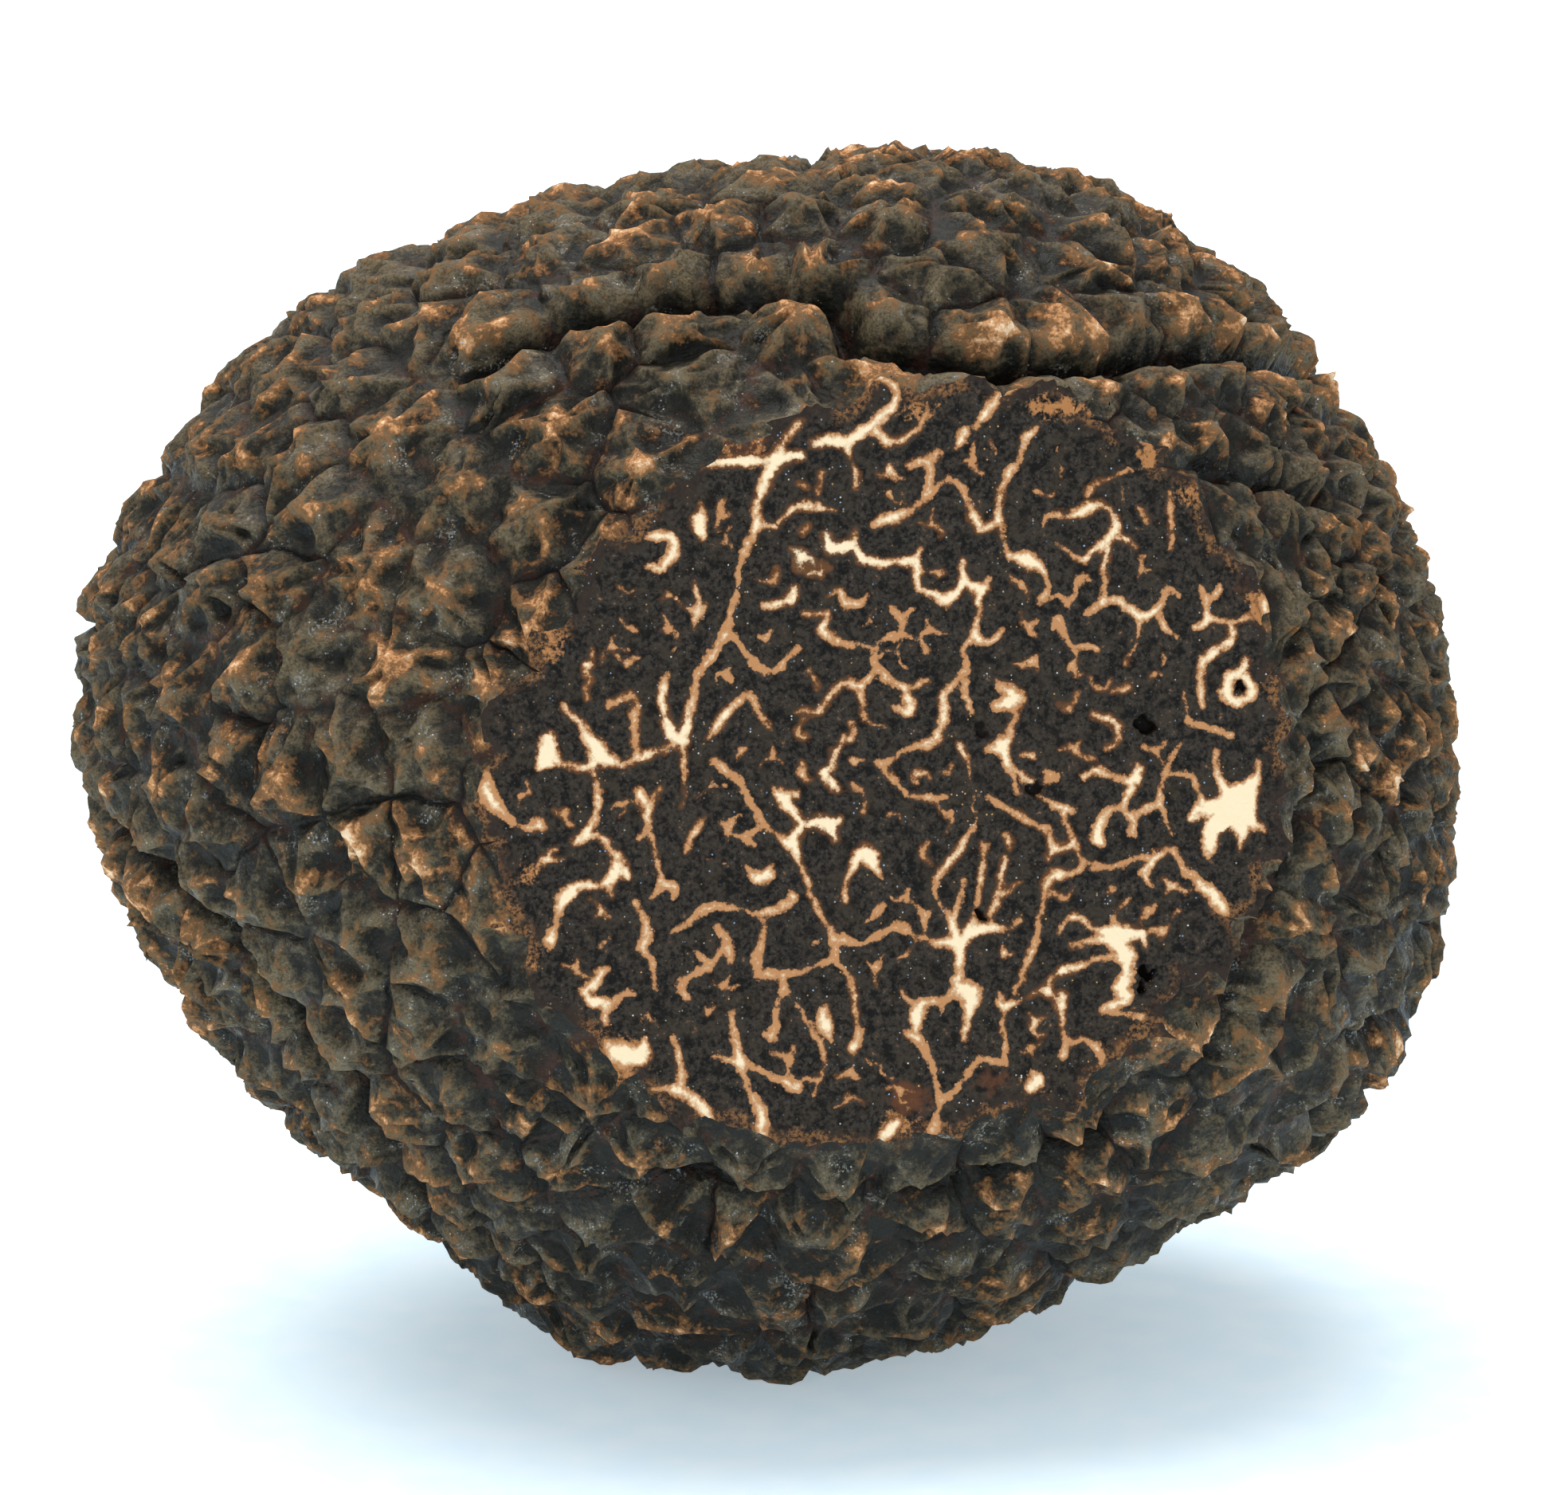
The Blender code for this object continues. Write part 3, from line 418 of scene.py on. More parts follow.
def crease_gap(points, size, seed):
    """How much nearer the nearest scattered point is than the next one: 0 along the creases."""
    places = points / size
    cells = np.floor(places).astype(np.int64)
    nearest = np.full(len(points), 9.0)
    second = nearest.copy()
    for offset in itertools.product((-1, 0, 1), repeat=3):
        neighbour = cells + offset
        scattered = neighbour + 0.5 + 0.45 * lattice_draws(neighbour, seed)
        away = np.linalg.norm(places - scattered, axis=1)
        second = np.minimum(second, np.maximum(nearest, away))
        nearest = np.minimum(nearest, away)
    return second - nearest


# The body, by the rule that the solid follows


def outline_radius(angle):
    """Radius of the outline at an angle in radians, on a smooth closed curve."""
    radii = np.array(OUTLINE)
    place = angle / math.tau * len(radii)
    first = np.floor(place).astype(int)
    t = place - first
    before, here, after, beyond = (radii[(first + k) % len(radii)] for k in (-1, 0, 1, 2))
    slope = (after - before) / 2
    next_slope = (beyond - here) / 2
    rise = after - here
    return here + slope * t + (3 * rise - 2 * slope - next_slope) * t**2 + (
        slope + next_slope - 2 * rise
    ) * t**3


def smooth_radius(directions):
    """Radius of the body with its lobes, before furrows and warts."""
    right, up, front = directions.T
    outline = outline_radius(np.arctan2(up, right))
    pole = np.where(front > 0, FRONT_RADIUS, BACK_RADIUS)
    radius = 1 / np.sqrt((1 - front**2) / outline**2 + front**2 / pole**2)
    for direction, height, half_width in LOBES:
        away = np.arccos(np.clip(directions @ unit(direction), -1, 1)) * radius
        radius = radius + height * np.exp(-((away / half_width) ** 2))
    return radius


def seen_at(across, up, side):
    """Direction of the body's point seen at (across, up) from the front (1) or behind (-1)."""
    direction = unit((across, up, FIRST_DEPTH))
    for _ in range(SIGHT_ROUNDS):
        reach = smooth_radius(unit([(across * side, up, direction[2] * side)]))[0]
        depth = math.sqrt(max(reach**2 - across**2 - up**2, LEAST_DEPTH_SQUARED))
        direction = unit((across, up, depth))
    return direction * (side, 1, side)


def furrow_lines():
    """Every furrow as the directions of its points, its depth and its half-width."""
    lines = []
    for furrows, side in ((FRONT_FURROWS, 1), (BACK_FURROWS, -1)):
        for points, depth, half_width in furrows:
            route = np.array([seen_at(across, up, side) for across, up in points])
            lines.append((route, depth, half_width))
    return lines


def distance_to_route(directions, route):
    """Angular distance from each direction to a route."""
    nearest = np.full(len(directions), math.pi)
    for start, end in zip(route[:-1], route[1:]):
        step = end - start
        along = np.clip((directions - start) @ step / (step @ step), 0, 1)
        gap = np.linalg.norm(directions - start - along[:, None] * step, axis=1)
        nearest = np.minimum(nearest, gap)
    return nearest


def furrow_depth(directions, radius, lines):
    """Depth of the furrows at each direction."""
    valley = np.zeros(len(directions))
    for route, depth, half_width in lines:
        away = distance_to_route(directions, route) * radius
        valley = np.maximum(valley, depth * np.exp(-((away / half_width) ** 2)))
    return valley


def drift(directions):
    """A slow random swing between about -1 and 1 over the body."""
    rng = np.random.default_rng(RANDOM_SEED + 1)
    runs = unit(rng.normal(size=(DRIFT_WAVES, 3))) * DRIFT_TURNS
    phases = rng.uniform(0, math.tau, DRIFT_WAVES)
    return np.sin(directions @ runs.T + phases).sum(axis=1) / math.sqrt(DRIFT_WAVES)


def seed_gap(directions):
    """Least angular distance wanted between a seed and its neighbours."""
    underside = np.clip(-directions[:, 1] * UNDERSIDE_SLOPE - UNDERSIDE_START, 0, 1)
    gap = SEED_GAP + (UNDERSIDE_GAP - SEED_GAP) * underside
    return gap * (1 + GAP_DRIFT * drift(directions)) / smooth_radius(directions)


def furrow_seeds(lines):
    """Seeds in pairs on the two sides of each furrow, so that a crack runs along it."""
    rng = np.random.default_rng(RANDOM_SEED + 4)
    seeds = []
    for route, _, _ in lines:
        radius = smooth_radius(route).mean()
        for start, end in zip(route[:-1], route[1:]):
            count = max(1, round(np.linalg.norm(end - start) * radius / FLANK_SPACING))
            for k in range(count):
                for side in (1, -1):
                    share = (k + 0.5 + FLANK_JITTER * rng.uniform(-1, 1)) / count
                    middle = start + (end - start) * share
                    aside = unit(np.cross(middle, end - start)) * FLANK / radius
                    seeds.append(unit(middle + side * aside))
    return np.array(seeds)


def scatter_seeds(lines):
    """All the seeds: those along the furrows, then darts that keep clear of the others."""
    along = furrow_seeds(lines)
    rng = np.random.default_rng(RANDOM_SEED)
    darts = unit(rng.normal(size=(DARTS, 3)))
    hopefuls = np.vstack([along, darts])
    gaps = seed_gap(hopefuls)
    gaps[: len(along)] *= FLANK_CROWDING
    kept = np.zeros((0, 3))
    for place, gap in zip(hopefuls, gaps):
        if len(kept) == 0 or np.linalg.norm(kept - place, axis=1).min() > gap:
            kept = np.vstack([kept, place])
    return kept


def cells_round(seeds):
    """Corners of the cells round the seeds, and each cell's corners in order."""
    net = bmesh.new()
    for place in seeds:
        net.verts.new(place)
    bmesh.ops.convex_hull(net, input=net.verts)
    net.faces.index_update()
    net.normal_update()
    corners = [face.normal.copy() for face in net.faces]
    cells = []
    for vert in net.verts:
        loop = vert.link_loops[0]
        cell = []
        for _ in vert.link_loops:
            cell.append(loop.face.index)
            loop = loop.link_loop_prev.link_loop_radial_next
        cells.append(cell)
    net.free()
    return corners, cells


def wart_net(lines):
    """Directions of the corners and tips, the tips' heights, and every (tip, corner, corner)."""
    corners, cells = cells_round(scatter_seeds(lines))
    net = bmesh.new()
    verts = [net.verts.new(corner) for corner in corners]
    for cell in cells:
        net.faces.new([verts[k] for k in cell])
    bmesh.ops.remove_doubles(net, verts=net.verts, dist=SHORTEST_SIDE / min(OUTLINE))
    cracks = {vert: number for number, vert in enumerate(net.verts)}
    crowns = net.faces[:]
    bmesh.ops.inset_individual(net, faces=crowns, thickness=INSET)
    tips = bmesh.ops.poke(net, faces=crowns)["verts"]

    rng = np.random.default_rng(RANDOM_SEED + 2)
    tip_places = []
    heights = []
    wedges = []
    for number, tip in enumerate(tips):
        tip_places.append(unit(tip.co + Vector(rng.normal(size=3)) * TIP_SHIFT / FRONT_RADIUS))
        heights.append(1 + HEIGHT_SPREAD * rng.uniform(-1, 1))
        for loop in tip.link_loops:
            shoulders = (loop.link_loop_next.vert, loop.link_loop_prev.vert)
            feet = [next(cracks[edge.other_vert(shoulder)] for edge in shoulder.link_edges
                         if edge.other_vert(shoulder) in cracks) for shoulder in shoulders]
            wedges.append((number, *feet))
    corner_places = unit([vert.co for vert in cracks])
    net.free()
    return corner_places, np.array(tip_places), np.array(heights), np.array(wedges)


# The fine rind


def wedge_grid():
    """The points of one wedge: shares of (tip, corner, corner), and the triangles over them."""
    shares = []
    starts = []
    for row in range(ROWS + 1):
        starts.append(len(shares))
        tip = (row / ROWS) ** ROW_CROWDING
        for step in range(ROWS - row + 1):
            across = step / max(ROWS - row, 1)
            shares.append((tip, (1 - tip) * (1 - across), (1 - tip) * across))
    triangles = []
    for row in range(ROWS):
        for step in range(ROWS - row):
            here = starts[row] + step
            above = starts[row + 1] + step
            triangles.append((here, here + 1, above))
            if step < ROWS - row - 1:
                triangles.append((here + 1, above + 1, above))
    return np.array(shares), np.array(triangles)


def grid_keys(wedges):
    """A key for every point of every wedge: points that two wedges share have the same key."""
    tip, first, second = wedges.T
    far = wedges.max() + 1
    keys = []
    for row in range(ROWS + 1):
        for step in range(ROWS - row + 1):
            last = step == ROWS - row
            if row == ROWS:
                key = (3, tip, 0)
            elif row == 0 and step in (0, ROWS):
                key = (0, first if step == 0 else second, 0)
            elif row == 0:
                key = (1, np.minimum(first, second) * far + np.maximum(first, second),
                       np.where(first < second, step, ROWS - step))
            elif step == 0 or last:
                key = (2, tip * far + (second if last else first), row)
            else:
                key = (4, np.arange(len(wedges)), len(keys))
            keys.append(np.stack([np.broadcast_to(part, tip.shape) for part in key], axis=1))
    return np.stack(keys, axis=1)


def blurred(values, triangles, passes):
    """Values averaged over their neighbours, again and again."""
    count = np.bincount(triangles.ravel(), minlength=len(values)) * 2
    first, second, third = triangles.T
    for _ in range(passes):
        total = np.zeros(len(values))
        for here, left, right in ((first, second, third), (second, third, first),
                                  (third, first, second)):
            total += np.bincount(here, values[left] + values[right], len(values))
        values = total / count
    return values


def fine_net():
    """The rind's fine net: where each point lies on its wart, the draws, and the triangles."""
    corners, tips, heights, wedges = wart_net(furrow_lines())
    shares, grid = wedge_grid()
    keys = grid_keys(wedges).reshape(-1, 3)
    _, first_use, index = np.unique(keys, axis=0, return_index=True, return_inverse=True)
    triangles = index.reshape(len(wedges), -1)[:, grid].reshape(-1, 3)
    wedge, spot = np.divmod(first_use, len(shares))
    tip, left, right = wedges[wedge].T
    share = shares[spot]
    straight = unit(share[:, :1] * tips[tip] + share[:, 1:2] * corners[left] + share[:, 2:] * corners[right])

    rng = np.random.default_rng(RANDOM_SEED + 3)
    reach = np.linalg.norm(corners[wedges[:, 1]] - tips[wedges[:, 0]], axis=1) * FRONT_RADIUS
    wart_reach = np.bincount(wedges[:, 0], reach) / np.bincount(wedges[:, 0])
    foot = np.maximum(share[:, 1] + share[:, 2], 1e-9)
    net = {
        "straight": straight,
        "rise": share[:, 0],
        "facet": 4 * share[:, 1] * share[:, 2] / foot**2,
        "from_crack": share[:, 0] * wart_reach[tip] * EDGE_REACH,
        "from_tip": straight - tips[tip],
        "height": heights[tip],
        "wart_draw": rng.uniform(0, 1, (len(tips), 3))[tip],
        "lean": rng.normal(size=(len(tips), 3))[tip],
        "wedge_draw": rng.uniform(0, 1, len(wedges))[wedge],
    }
    front_wart = tips[np.repeat(wedges[:, 0], len(grid))][:, 2] > FRONT_PIECE_REACH
    return net, triangles, front_wart


def wart_relief(net, look):
    """Height of each point over the smooth body from the form of its wart alone."""
    rise, height = net["rise"], net["height"]
    crown = 1 - (1 - rise) ** look.dome
    relief = (look.crack_depth + look.tip_rise * height) * crown - look.crack_depth
    swell = np.sin(math.pi * np.minimum(rise * 1.15, 1))
    relief -= look.hollow_depth * (0.3 + 1.4 * net["wedge_draw"]) * net["facet"] * swell
    relief += look.wart_lean * (net["from_tip"] * net["lean"]).sum(axis=1) * FRONT_RADIUS * crown
    cratered = net["wart_draw"][:, 1] > 1 - look.crater_share
    relief -= look.crater_depth * cratered * np.exp(-(((1 - rise) / 0.16) ** 2))
    return relief


def crumple(spots, look):
    """Creases, ridges and lumps that cross the warts."""
    bent = spots + 0.35 * np.stack([noise(spots, 1.1, seed) for seed in (101, 102, 103)], axis=1)
    creases = np.maximum(1 - crease_gap(bent, look.crease_size, 5) / 0.55, 0)
    fine_creases = np.maximum(1 - crease_gap(bent, look.crease_size * 0.45, 6) / 0.5, 0)
    ridges = 1 - 2 * np.abs(noise(bent, look.crease_size * 1.2, 55))
    lumps = layered_noise(spots, look.lump_size, 41, 4)
    return (look.lump_height * lumps + look.ridge_height * ridges
            - look.crease_depth * (creases + 0.4 * fine_creases))


def fine_rind(look):
    """Points of the whole rind in millimetres, its triangles, its values and its front half."""
    net, triangles, front_wart = fine_net()
    on_ball = net["straight"] * FRONT_RADIUS
    wander = [layered_noise(on_ball, look.wander_size, seed, 2) for seed in (11, 21, 31)]
    directions = unit(net["straight"] + np.stack(wander, axis=1) * look.wander / FRONT_RADIUS)
    smooth = smooth_radius(directions)
    spots = directions * smooth[:, None]
    rise = net["rise"]

    relief = wart_relief(net, look)
    calm = look.valley_calm + (1 - look.valley_calm) * np.minimum(net["from_crack"] / 0.5, 1)
    relief += calm * crumple(spots, look)
    open_here = smooth_step(noise(spots, 5.0, 77), -0.15, 0.35)
    slit = np.exp(-((net["from_crack"] / look.slit_width) ** 2)) * open_here
    relief -= look.slit_depth * slit
    behind_knife = CUT_DISTANCE - spots @ unit(CUT_DIRECTION)
    at_rim = 1 - smooth_step(behind_knife, 0.0, 0.8)
    relief = np.where(relief < 0, relief * (1 - 0.5 * at_rim), relief)
    furrow = furrow_depth(directions, smooth, furrow_lines())
    relief -= furrow

    raised = np.maximum(relief + look.crack_depth, 0)
    downhill = directions * directions[:, 1:2] - np.array((0, 1, 0))
    places = directions * (smooth + relief)[:, None] + look.sag * raised[:, None] * downhill
    points = CENTRE + places @ BODY_AXES.T
    points[:, 2] = np.maximum(points[:, 2], 0)

    # relief above its blurred surroundings: high on worn ridges, low in hollows, where it drives painted
    # shade
    wear_and_hollow_shade = relief - blurred(relief, triangles, 12)
    values = {
        "wear_and_hollow_shade": wear_and_hollow_shade / wear_and_hollow_shade.std(),
        "tip": rise,
        "slit": slit,
        "valley": np.exp(-net["from_crack"] / 0.25),
        "furrow": furrow,
        "draw": net["wart_draw"][:, 0] * (rise > 0),
    }
    return points, triangles, values, front_wart


def knife():
    """A point of the slice's face in millimetres, its direction, and its across and up."""
    direction = unit(CUT_DIRECTION)
    across = unit(np.cross((0, 1, 0), direction))
    up = np.cross(direction, across)
    point = CENTRE + BODY_AXES @ direction * CUT_DISTANCE
    return point, BODY_AXES @ direction, BODY_AXES @ across, BODY_AXES @ up


def mesh_piece(name, points, triangles, values, material):
    """An object with a smooth mesh in metres and its values as point attributes."""
    mesh = bpy.data.meshes.new(name)
    mesh.from_pydata(points * MM, [], triangles.tolist())
    for key, numbers in values.items():
        mesh.attributes.new(key, "FLOAT", "POINT").data.foreach_set("value", numbers.astype(np.float32))
    mesh.shade_smooth()
    mesh.materials.append(material)
    piece = bpy.data.objects.new(name, mesh)
    bpy.context.scene.collection.objects.link(piece)
    return piece


def slice_off(piece):
    """Take away what lies beyond the knife."""
    point, direction, _, _ = knife()
    cut = bmesh.new()
    cut.from_mesh(piece.data)
    bmesh.ops.bisect_plane(
        cut, geom=cut.verts[:] + cut.edges[:] + cut.faces[:], dist=ON_PLANE * MM * 0.1,
        plane_co=Vector(point) * MM, plane_no=Vector(direction), clear_outer=True,
    )
    bmesh.ops.triangulate(cut, faces=[face for face in cut.faces if len(face.verts) > 3])
    cut.to_mesh(piece.data)
    cut.free()


def make_rind(look):
    """The rind in two pieces that meet along the bottoms of cracks."""
    points, triangles, values, in_front = fine_rind(look)
    material = rind_material(look)
    for name, chosen in (("rind_front", in_front), ("rind_back", ~in_front)):
        used, numbers = np.unique(triangles[chosen], return_inverse=True)
        part_values = {key: value[used] for key, value in values.items()}
        piece = mesh_piece(name, points[used], numbers.reshape(-1, 3), part_values, material)
        slice_off(piece)
        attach(piece, BODY)
        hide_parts(NODE)


# The slice's face


def rim_loops(piece):
    """The closed edges of a piece that lie on the slice, as (across, up) points, largest first."""
    point, direction, across, up = knife()
    mesh = piece.data
    places = np.empty(len(mesh.vertices) * 3)
    mesh.vertices.foreach_get("co", places)
    places = places.reshape(-1, 3) / MM - point
    on_plane = np.abs(places @ direction) < ON_PLANE
    corners = np.empty(len(mesh.loops), int)
    mesh.loops.foreach_get("edge_index", corners)
    uses = np.bincount(corners, minlength=len(mesh.edges))
    ends = np.empty(len(mesh.edges) * 2, int)
    mesh.edges.foreach_get("vertices", ends)
    ends = ends.reshape(-1, 2)
    rim = ends[(uses == 1) & on_plane[ends].all(axis=1)]
    follows = {}
    for first, second in rim.tolist():
        follows.setdefault(first, []).append(second)
        follows.setdefault(second, []).append(first)
    loops = []
    while follows:
        loop = [next(iter(follows))]
        while True:
            ways = [end for end in follows.pop(loop[-1]) if end in follows]
            if not ways:
                break
            loop.append(ways[0])
        if len(loop) > 3:
            loops.append(places[loop] @ np.stack([across, up], axis=1))
    return sorted(loops, key=lambda loop: -abs(loop_area(loop)))


def loop_area(loop):
    """Area inside a closed line, positive anticlockwise."""
    x, y = loop.T
    return 0.5 * (x * np.roll(y, -1) - y * np.roll(x, -1)).sum()


def distance_to_loop(points, loop):
    """Distance from each point to a closed line, and whether it lies inside."""
    nearest = np.full(len(points), 99.0)
    inside = np.zeros(len(points), bool)
    for start, end in zip(loop, np.roll(loop, -1, axis=0)):
        step = end - start
        along = np.clip((points - start) @ step / max(step @ step, 1e-12), 0, 1)
        nearest = np.minimum(nearest, np.linalg.norm(points - start - along[:, None] * step, axis=1))
        crosses = (start[1] > points[:, 1]) != (end[1] > points[:, 1])
        height = points[:, 1] - start[1]
        inside ^= crosses & (points[:, 0] < start[0] + height * step[0] / (step[1] if step[1] else 1))
    return nearest, inside


def filled_loop(loop):
    """Points and triangles over the inside of a closed line, and each point's way to the line."""
    low, high = loop.min(axis=0), loop.max(axis=0)
    rows = np.arange(low[1], high[1], FLESH_STEP * 0.87)
    columns = np.arange(low[0], high[0], FLESH_STEP)
    x, y = np.meshgrid(columns, rows)
    x = x + (np.arange(len(rows))[:, None] % 2) * FLESH_STEP / 2
    grid = np.stack([x.ravel(), y.ravel()], axis=1)
    away, inside = distance_to_loop(grid, loop)
    grid = grid[inside & (away > FLESH_STEP * 0.5)]
    places = np.vstack([loop, grid])
    result = delaunay_2d_cdt([Vector(place) for place in places], [], [list(range(len(loop)))], 1, 1e-6)
    places = np.array([place[:] for place in result[0]])
    away, _ = distance_to_loop(places, loop)
    return places, np.array([face for face in result[2]]), away


def smooth_route(route):
    """A route's points with two more between each pair, on a smooth curve."""
    route = np.array(route, float)
    if len(route) < 3:
        return route
    padded = np.vstack([2 * route[0] - route[1], route, 2 * route[-1] - route[-2]])
    finer = [route[0]]
    for k in range(len(route) - 1):
        before, here, after, beyond = padded[k : k + 4]
        for t in (1 / 3, 2 / 3, 1):
            finer.append(0.5 * (2 * here + (after - before) * t
                                + (2 * before - 5 * here + 4 * after - beyond) * t**2
                                + (3 * here - 3 * after + beyond - before) * t**3))
    finer = np.array(finer)
    finer[:, 2] = np.maximum(finer[:, 2], 0.03)
    return finer


def near_route(points, route):
    """How far outside a route of changing half-width each point lies; below 0 inside."""
    if len(route) == 1:
        route = np.vstack([route, route])
    best = np.full(len(points), 9.0)
    for start, end in zip(route[:-1], route[1:]):
        middle = (start[:2] + end[:2]) / 2
        reach = np.abs(end[:2] - start[:2]) / 2 + 1.2
        near = (np.abs(points - middle) < reach).all(axis=1)
        offset = points[near] - start[:2]
        step = end[:2] - start[:2]
        along = np.clip(offset @ step / max(step @ step, 1e-9), 0, 1)
        gap = np.linalg.norm(offset - along[:, None] * step, axis=1)
        best[near] = np.minimum(best[near], gap - start[2] - (end[2] - start[2]) * along)
    return best


def vein_field(points, veins, blend):
    """Distance outside the nearest vein, with soft fillets where veins meet, and its tone."""
    weight = np.full(len(points), 1e-12)
    toned = np.zeros(len(points))
    for tone, *route in veins:
        gap = near_route(points, smooth_route(route))
        near = gap < 3
        pull = np.exp(-np.clip(gap[near], -0.6, 3) / blend)
        weight[near] += pull
        toned[near] += pull * tone
    return -blend * np.log(weight), toned / weight


def small_veins(loop, laid, look):
    """Short branched veins, scattered wherever the main ones leave room."""
    rng = np.random.default_rng(RANDOM_SEED + 6)
    low, high = loop.min(axis=0), loop.max(axis=0)
    places = low + (high - low) * rng.uniform(size=(look.small_vein_darts, 2))
    away, inside = distance_to_loop(places, loop)
    places -= VEIN_MIDDLE
    gap, _ = vein_field(places, laid, look.vein_fillet)
    added = []
    centres = np.zeros((0, 2))
    room = inside & (away > SMALL_VEIN_RIM) & (gap > look.small_vein_gap)
    for spot in places[room]:
        nearest = np.linalg.norm(centres - spot, axis=1).min(initial=np.inf)
        if nearest < look.small_vein_gap * SMALL_VEIN_SPREAD:
            continue
        centres = np.vstack([centres, spot])
        tone = rng.choice((0.2, 0.6, 1.0))
        turn = rng.uniform(0, math.tau)
        girth = rng.uniform(0.05, 0.14)
        for arm in range(rng.integers(1, 4)):
            angle = turn + arm * 2.1 + rng.normal() * 0.3
            length = rng.uniform(0.25, 0.65)
            bend = angle + rng.normal() * 0.6
            middle = spot + length * 0.6 * np.array((math.cos(angle), math.sin(angle)))
            end = middle + length * 0.5 * np.array((math.cos(bend), math.sin(bend)))
            added.append((tone, (*spot, girth), (*middle, girth * 0.6), (*end, 0.04)))
    return added


def patches(spots, table):
    """Strength of a table's soft patches at each point of the slice."""
    strongest = np.zeros(len(spots))
    for side, rise, wide, tall, strength in table:
        away = np.linalg.norm((spots - (side, rise)) / (wide, tall), axis=1)
        strongest = np.maximum(strongest, strength * (1 - smooth_step(away, 0.3, 1.3)))
    return strongest


def filled_rims(loops):
    """The insides of all the rims together: points, triangles, and each point's way to its rim."""
    places, triangles, rim = [], [], []
    for loop in loops:
        if abs(loop_area(loop)) < LEAST_RIM_AREA:
            continue
        if len(places) and distance_to_loop(loop[:1], loops[0])[1][0]:
            continue
        spots, faces, away = filled_loop(loop)
        triangles.append(faces + sum(len(part) for part in places))
        places.append(spots)
        rim.append(away)
    return np.vstack(places), np.vstack(triangles), np.concatenate(rim)


def cut_relief(flat, spots, wobble, gap, rim, look):
    """Height of each point over the knife's plane, and how deep it lies in a pit."""
    height = look.flesh_wave * layered_noise(flat, 3.0, 81, 2)
    height = height + look.flesh_grain * layered_noise(flat, 0.35, 91, 2)
    height += look.vein_rise * (1 - smooth_step(gap, -0.05, 0.08))
    pit = np.zeros(len(spots))
    for side, rise, radius, depth in PITS:
        away = np.linalg.norm(spots - (side, rise) + wobble * 0.3, axis=1)
        pit = np.maximum(pit, depth * (1 - smooth_step(away, radius * 0.55, radius)))
    return (height - pit) * smooth_step(rim, 0.0, 0.3), pit


def make_cut_face(look):
    """The flat slice, filled to the rind's rim, with its veins as values and slight relief."""
    loops = rim_loops(bpy.data.objects["rind_front"])
    point, direction, across, up = knife()
    veins = list(VEINS) + small_veins(loops[0], VEINS, look)
    places, triangles, rim = filled_rims(loops)
    flat = np.column_stack([places, np.zeros(len(places))])
    spots = places - VEIN_MIDDLE
    wobble = np.stack([layered_noise(flat, look.vein_wobble_size, seed, 2) for seed in (61, 71)], axis=1)
    gap, tone = vein_field(spots + wobble * look.vein_wobble, veins, look.vein_fillet)

    height, pit = cut_relief(flat, spots, wobble, gap, rim, look)
    red, ember = (patches(spots + wobble * 0.3, table) for table in (RED_PATCHES, EMBERS))
    points = point + places[:, :1] * across + places[:, 1:] * up + height[:, None] * direction
    first, second, third = places[triangles].transpose(1, 0, 2)
    facing = np.cross(second - first, third - first)
    triangles = np.where(facing[:, None] < 0, triangles[:, ::-1], triangles)
    values = {"vein": np.clip(gap, -1, 2), "tone": tone, "rim": rim, "red": red, "ember": ember, "pit": pit}
    piece = mesh_piece("cut_face", points, triangles, values, flesh_material(look))
    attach(piece, BODY)
    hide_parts(NODE)


# Materials


def place(tree, kind, inputs=None, **settings):
    """A shader node with its settings, and its inputs set or linked."""
    made = tree.nodes.new(kind)
    made.location.x = 190 * len(tree.nodes)
    for name, setting in settings.items():
        setattr(made, name, setting)
    for name, source in (inputs or {}).items():
        if isinstance(source, bpy.types.NodeSocket):
            tree.links.new(source, made.inputs[name])
        else:
            made.inputs[name].default_value = source
    return made


def calculate(tree, operation, first, second=0.0, third=0.0):
    """The result of a sum on two or three values."""
    return place(tree, "ShaderNodeMath", {0: first, 1: second, 2: third}, operation=operation).outputs[0]


def step_up(tree, value, low, high, bottom=0.0, top=1.0):
    """A smooth slope from bottom to top as the value goes from low to high."""
    return place(tree, "ShaderNodeMapRange", {"Value": value, "From Min": low, "From Max": high,
                                              "To Min": bottom, "To Max": top},
                 interpolation_type="SMOOTHSTEP").outputs["Result"]


def blend_colours(tree, share, first, second):
    """The second colour over the first."""
    mixed = place(tree, "ShaderNodeMix", {0: share, 6: first, 7: second}, data_type="RGBA")
    return mixed.outputs[2]


def layered(tree, colour, layers):
    """A colour under others, each laid over those before it by its own share."""
    for share, over in layers:
        colour = blend_colours(tree, share, colour, over)
    return colour


def spots_of(tree, position, size, detail=2.0, rough=0.5, warp=0.0):
    """Cloudy noise from 0 to 1 with spots of a size in millimetres."""
    return place(tree, "ShaderNodeTexNoise", {"Vector": position, "Scale": 1 / (size * MM), "Detail": detail,
                                              "Roughness": rough, "Distortion": warp}).outputs["Fac"]


def carried(tree, name):
    """A value that the mesh carries at its points."""
    return place(tree, "ShaderNodeAttribute", attribute_name=name).outputs["Fac"]


def solid_position(tree):
    """The place of a point on the piece itself."""
    return place(tree, "ShaderNodeTexCoord").outputs["Object"]


def new_group(name, inputs, outputs):
    """A shader node group with named inputs and outputs; gives the group and its two end nodes."""
    group = bpy.data.node_groups.new(name, "ShaderNodeTree")
    for label, kind, default in inputs:
        socket = group.interface.new_socket(label, in_out="INPUT", socket_type=kind)
        if default is not None:
            socket.default_value = default
    for label, kind in outputs:
        group.interface.new_socket(label, in_out="OUTPUT", socket_type=kind)
    start = group.nodes.new("NodeGroupInput")
    end = group.nodes.new("NodeGroupOutput")
    return group, start.outputs, end.inputs


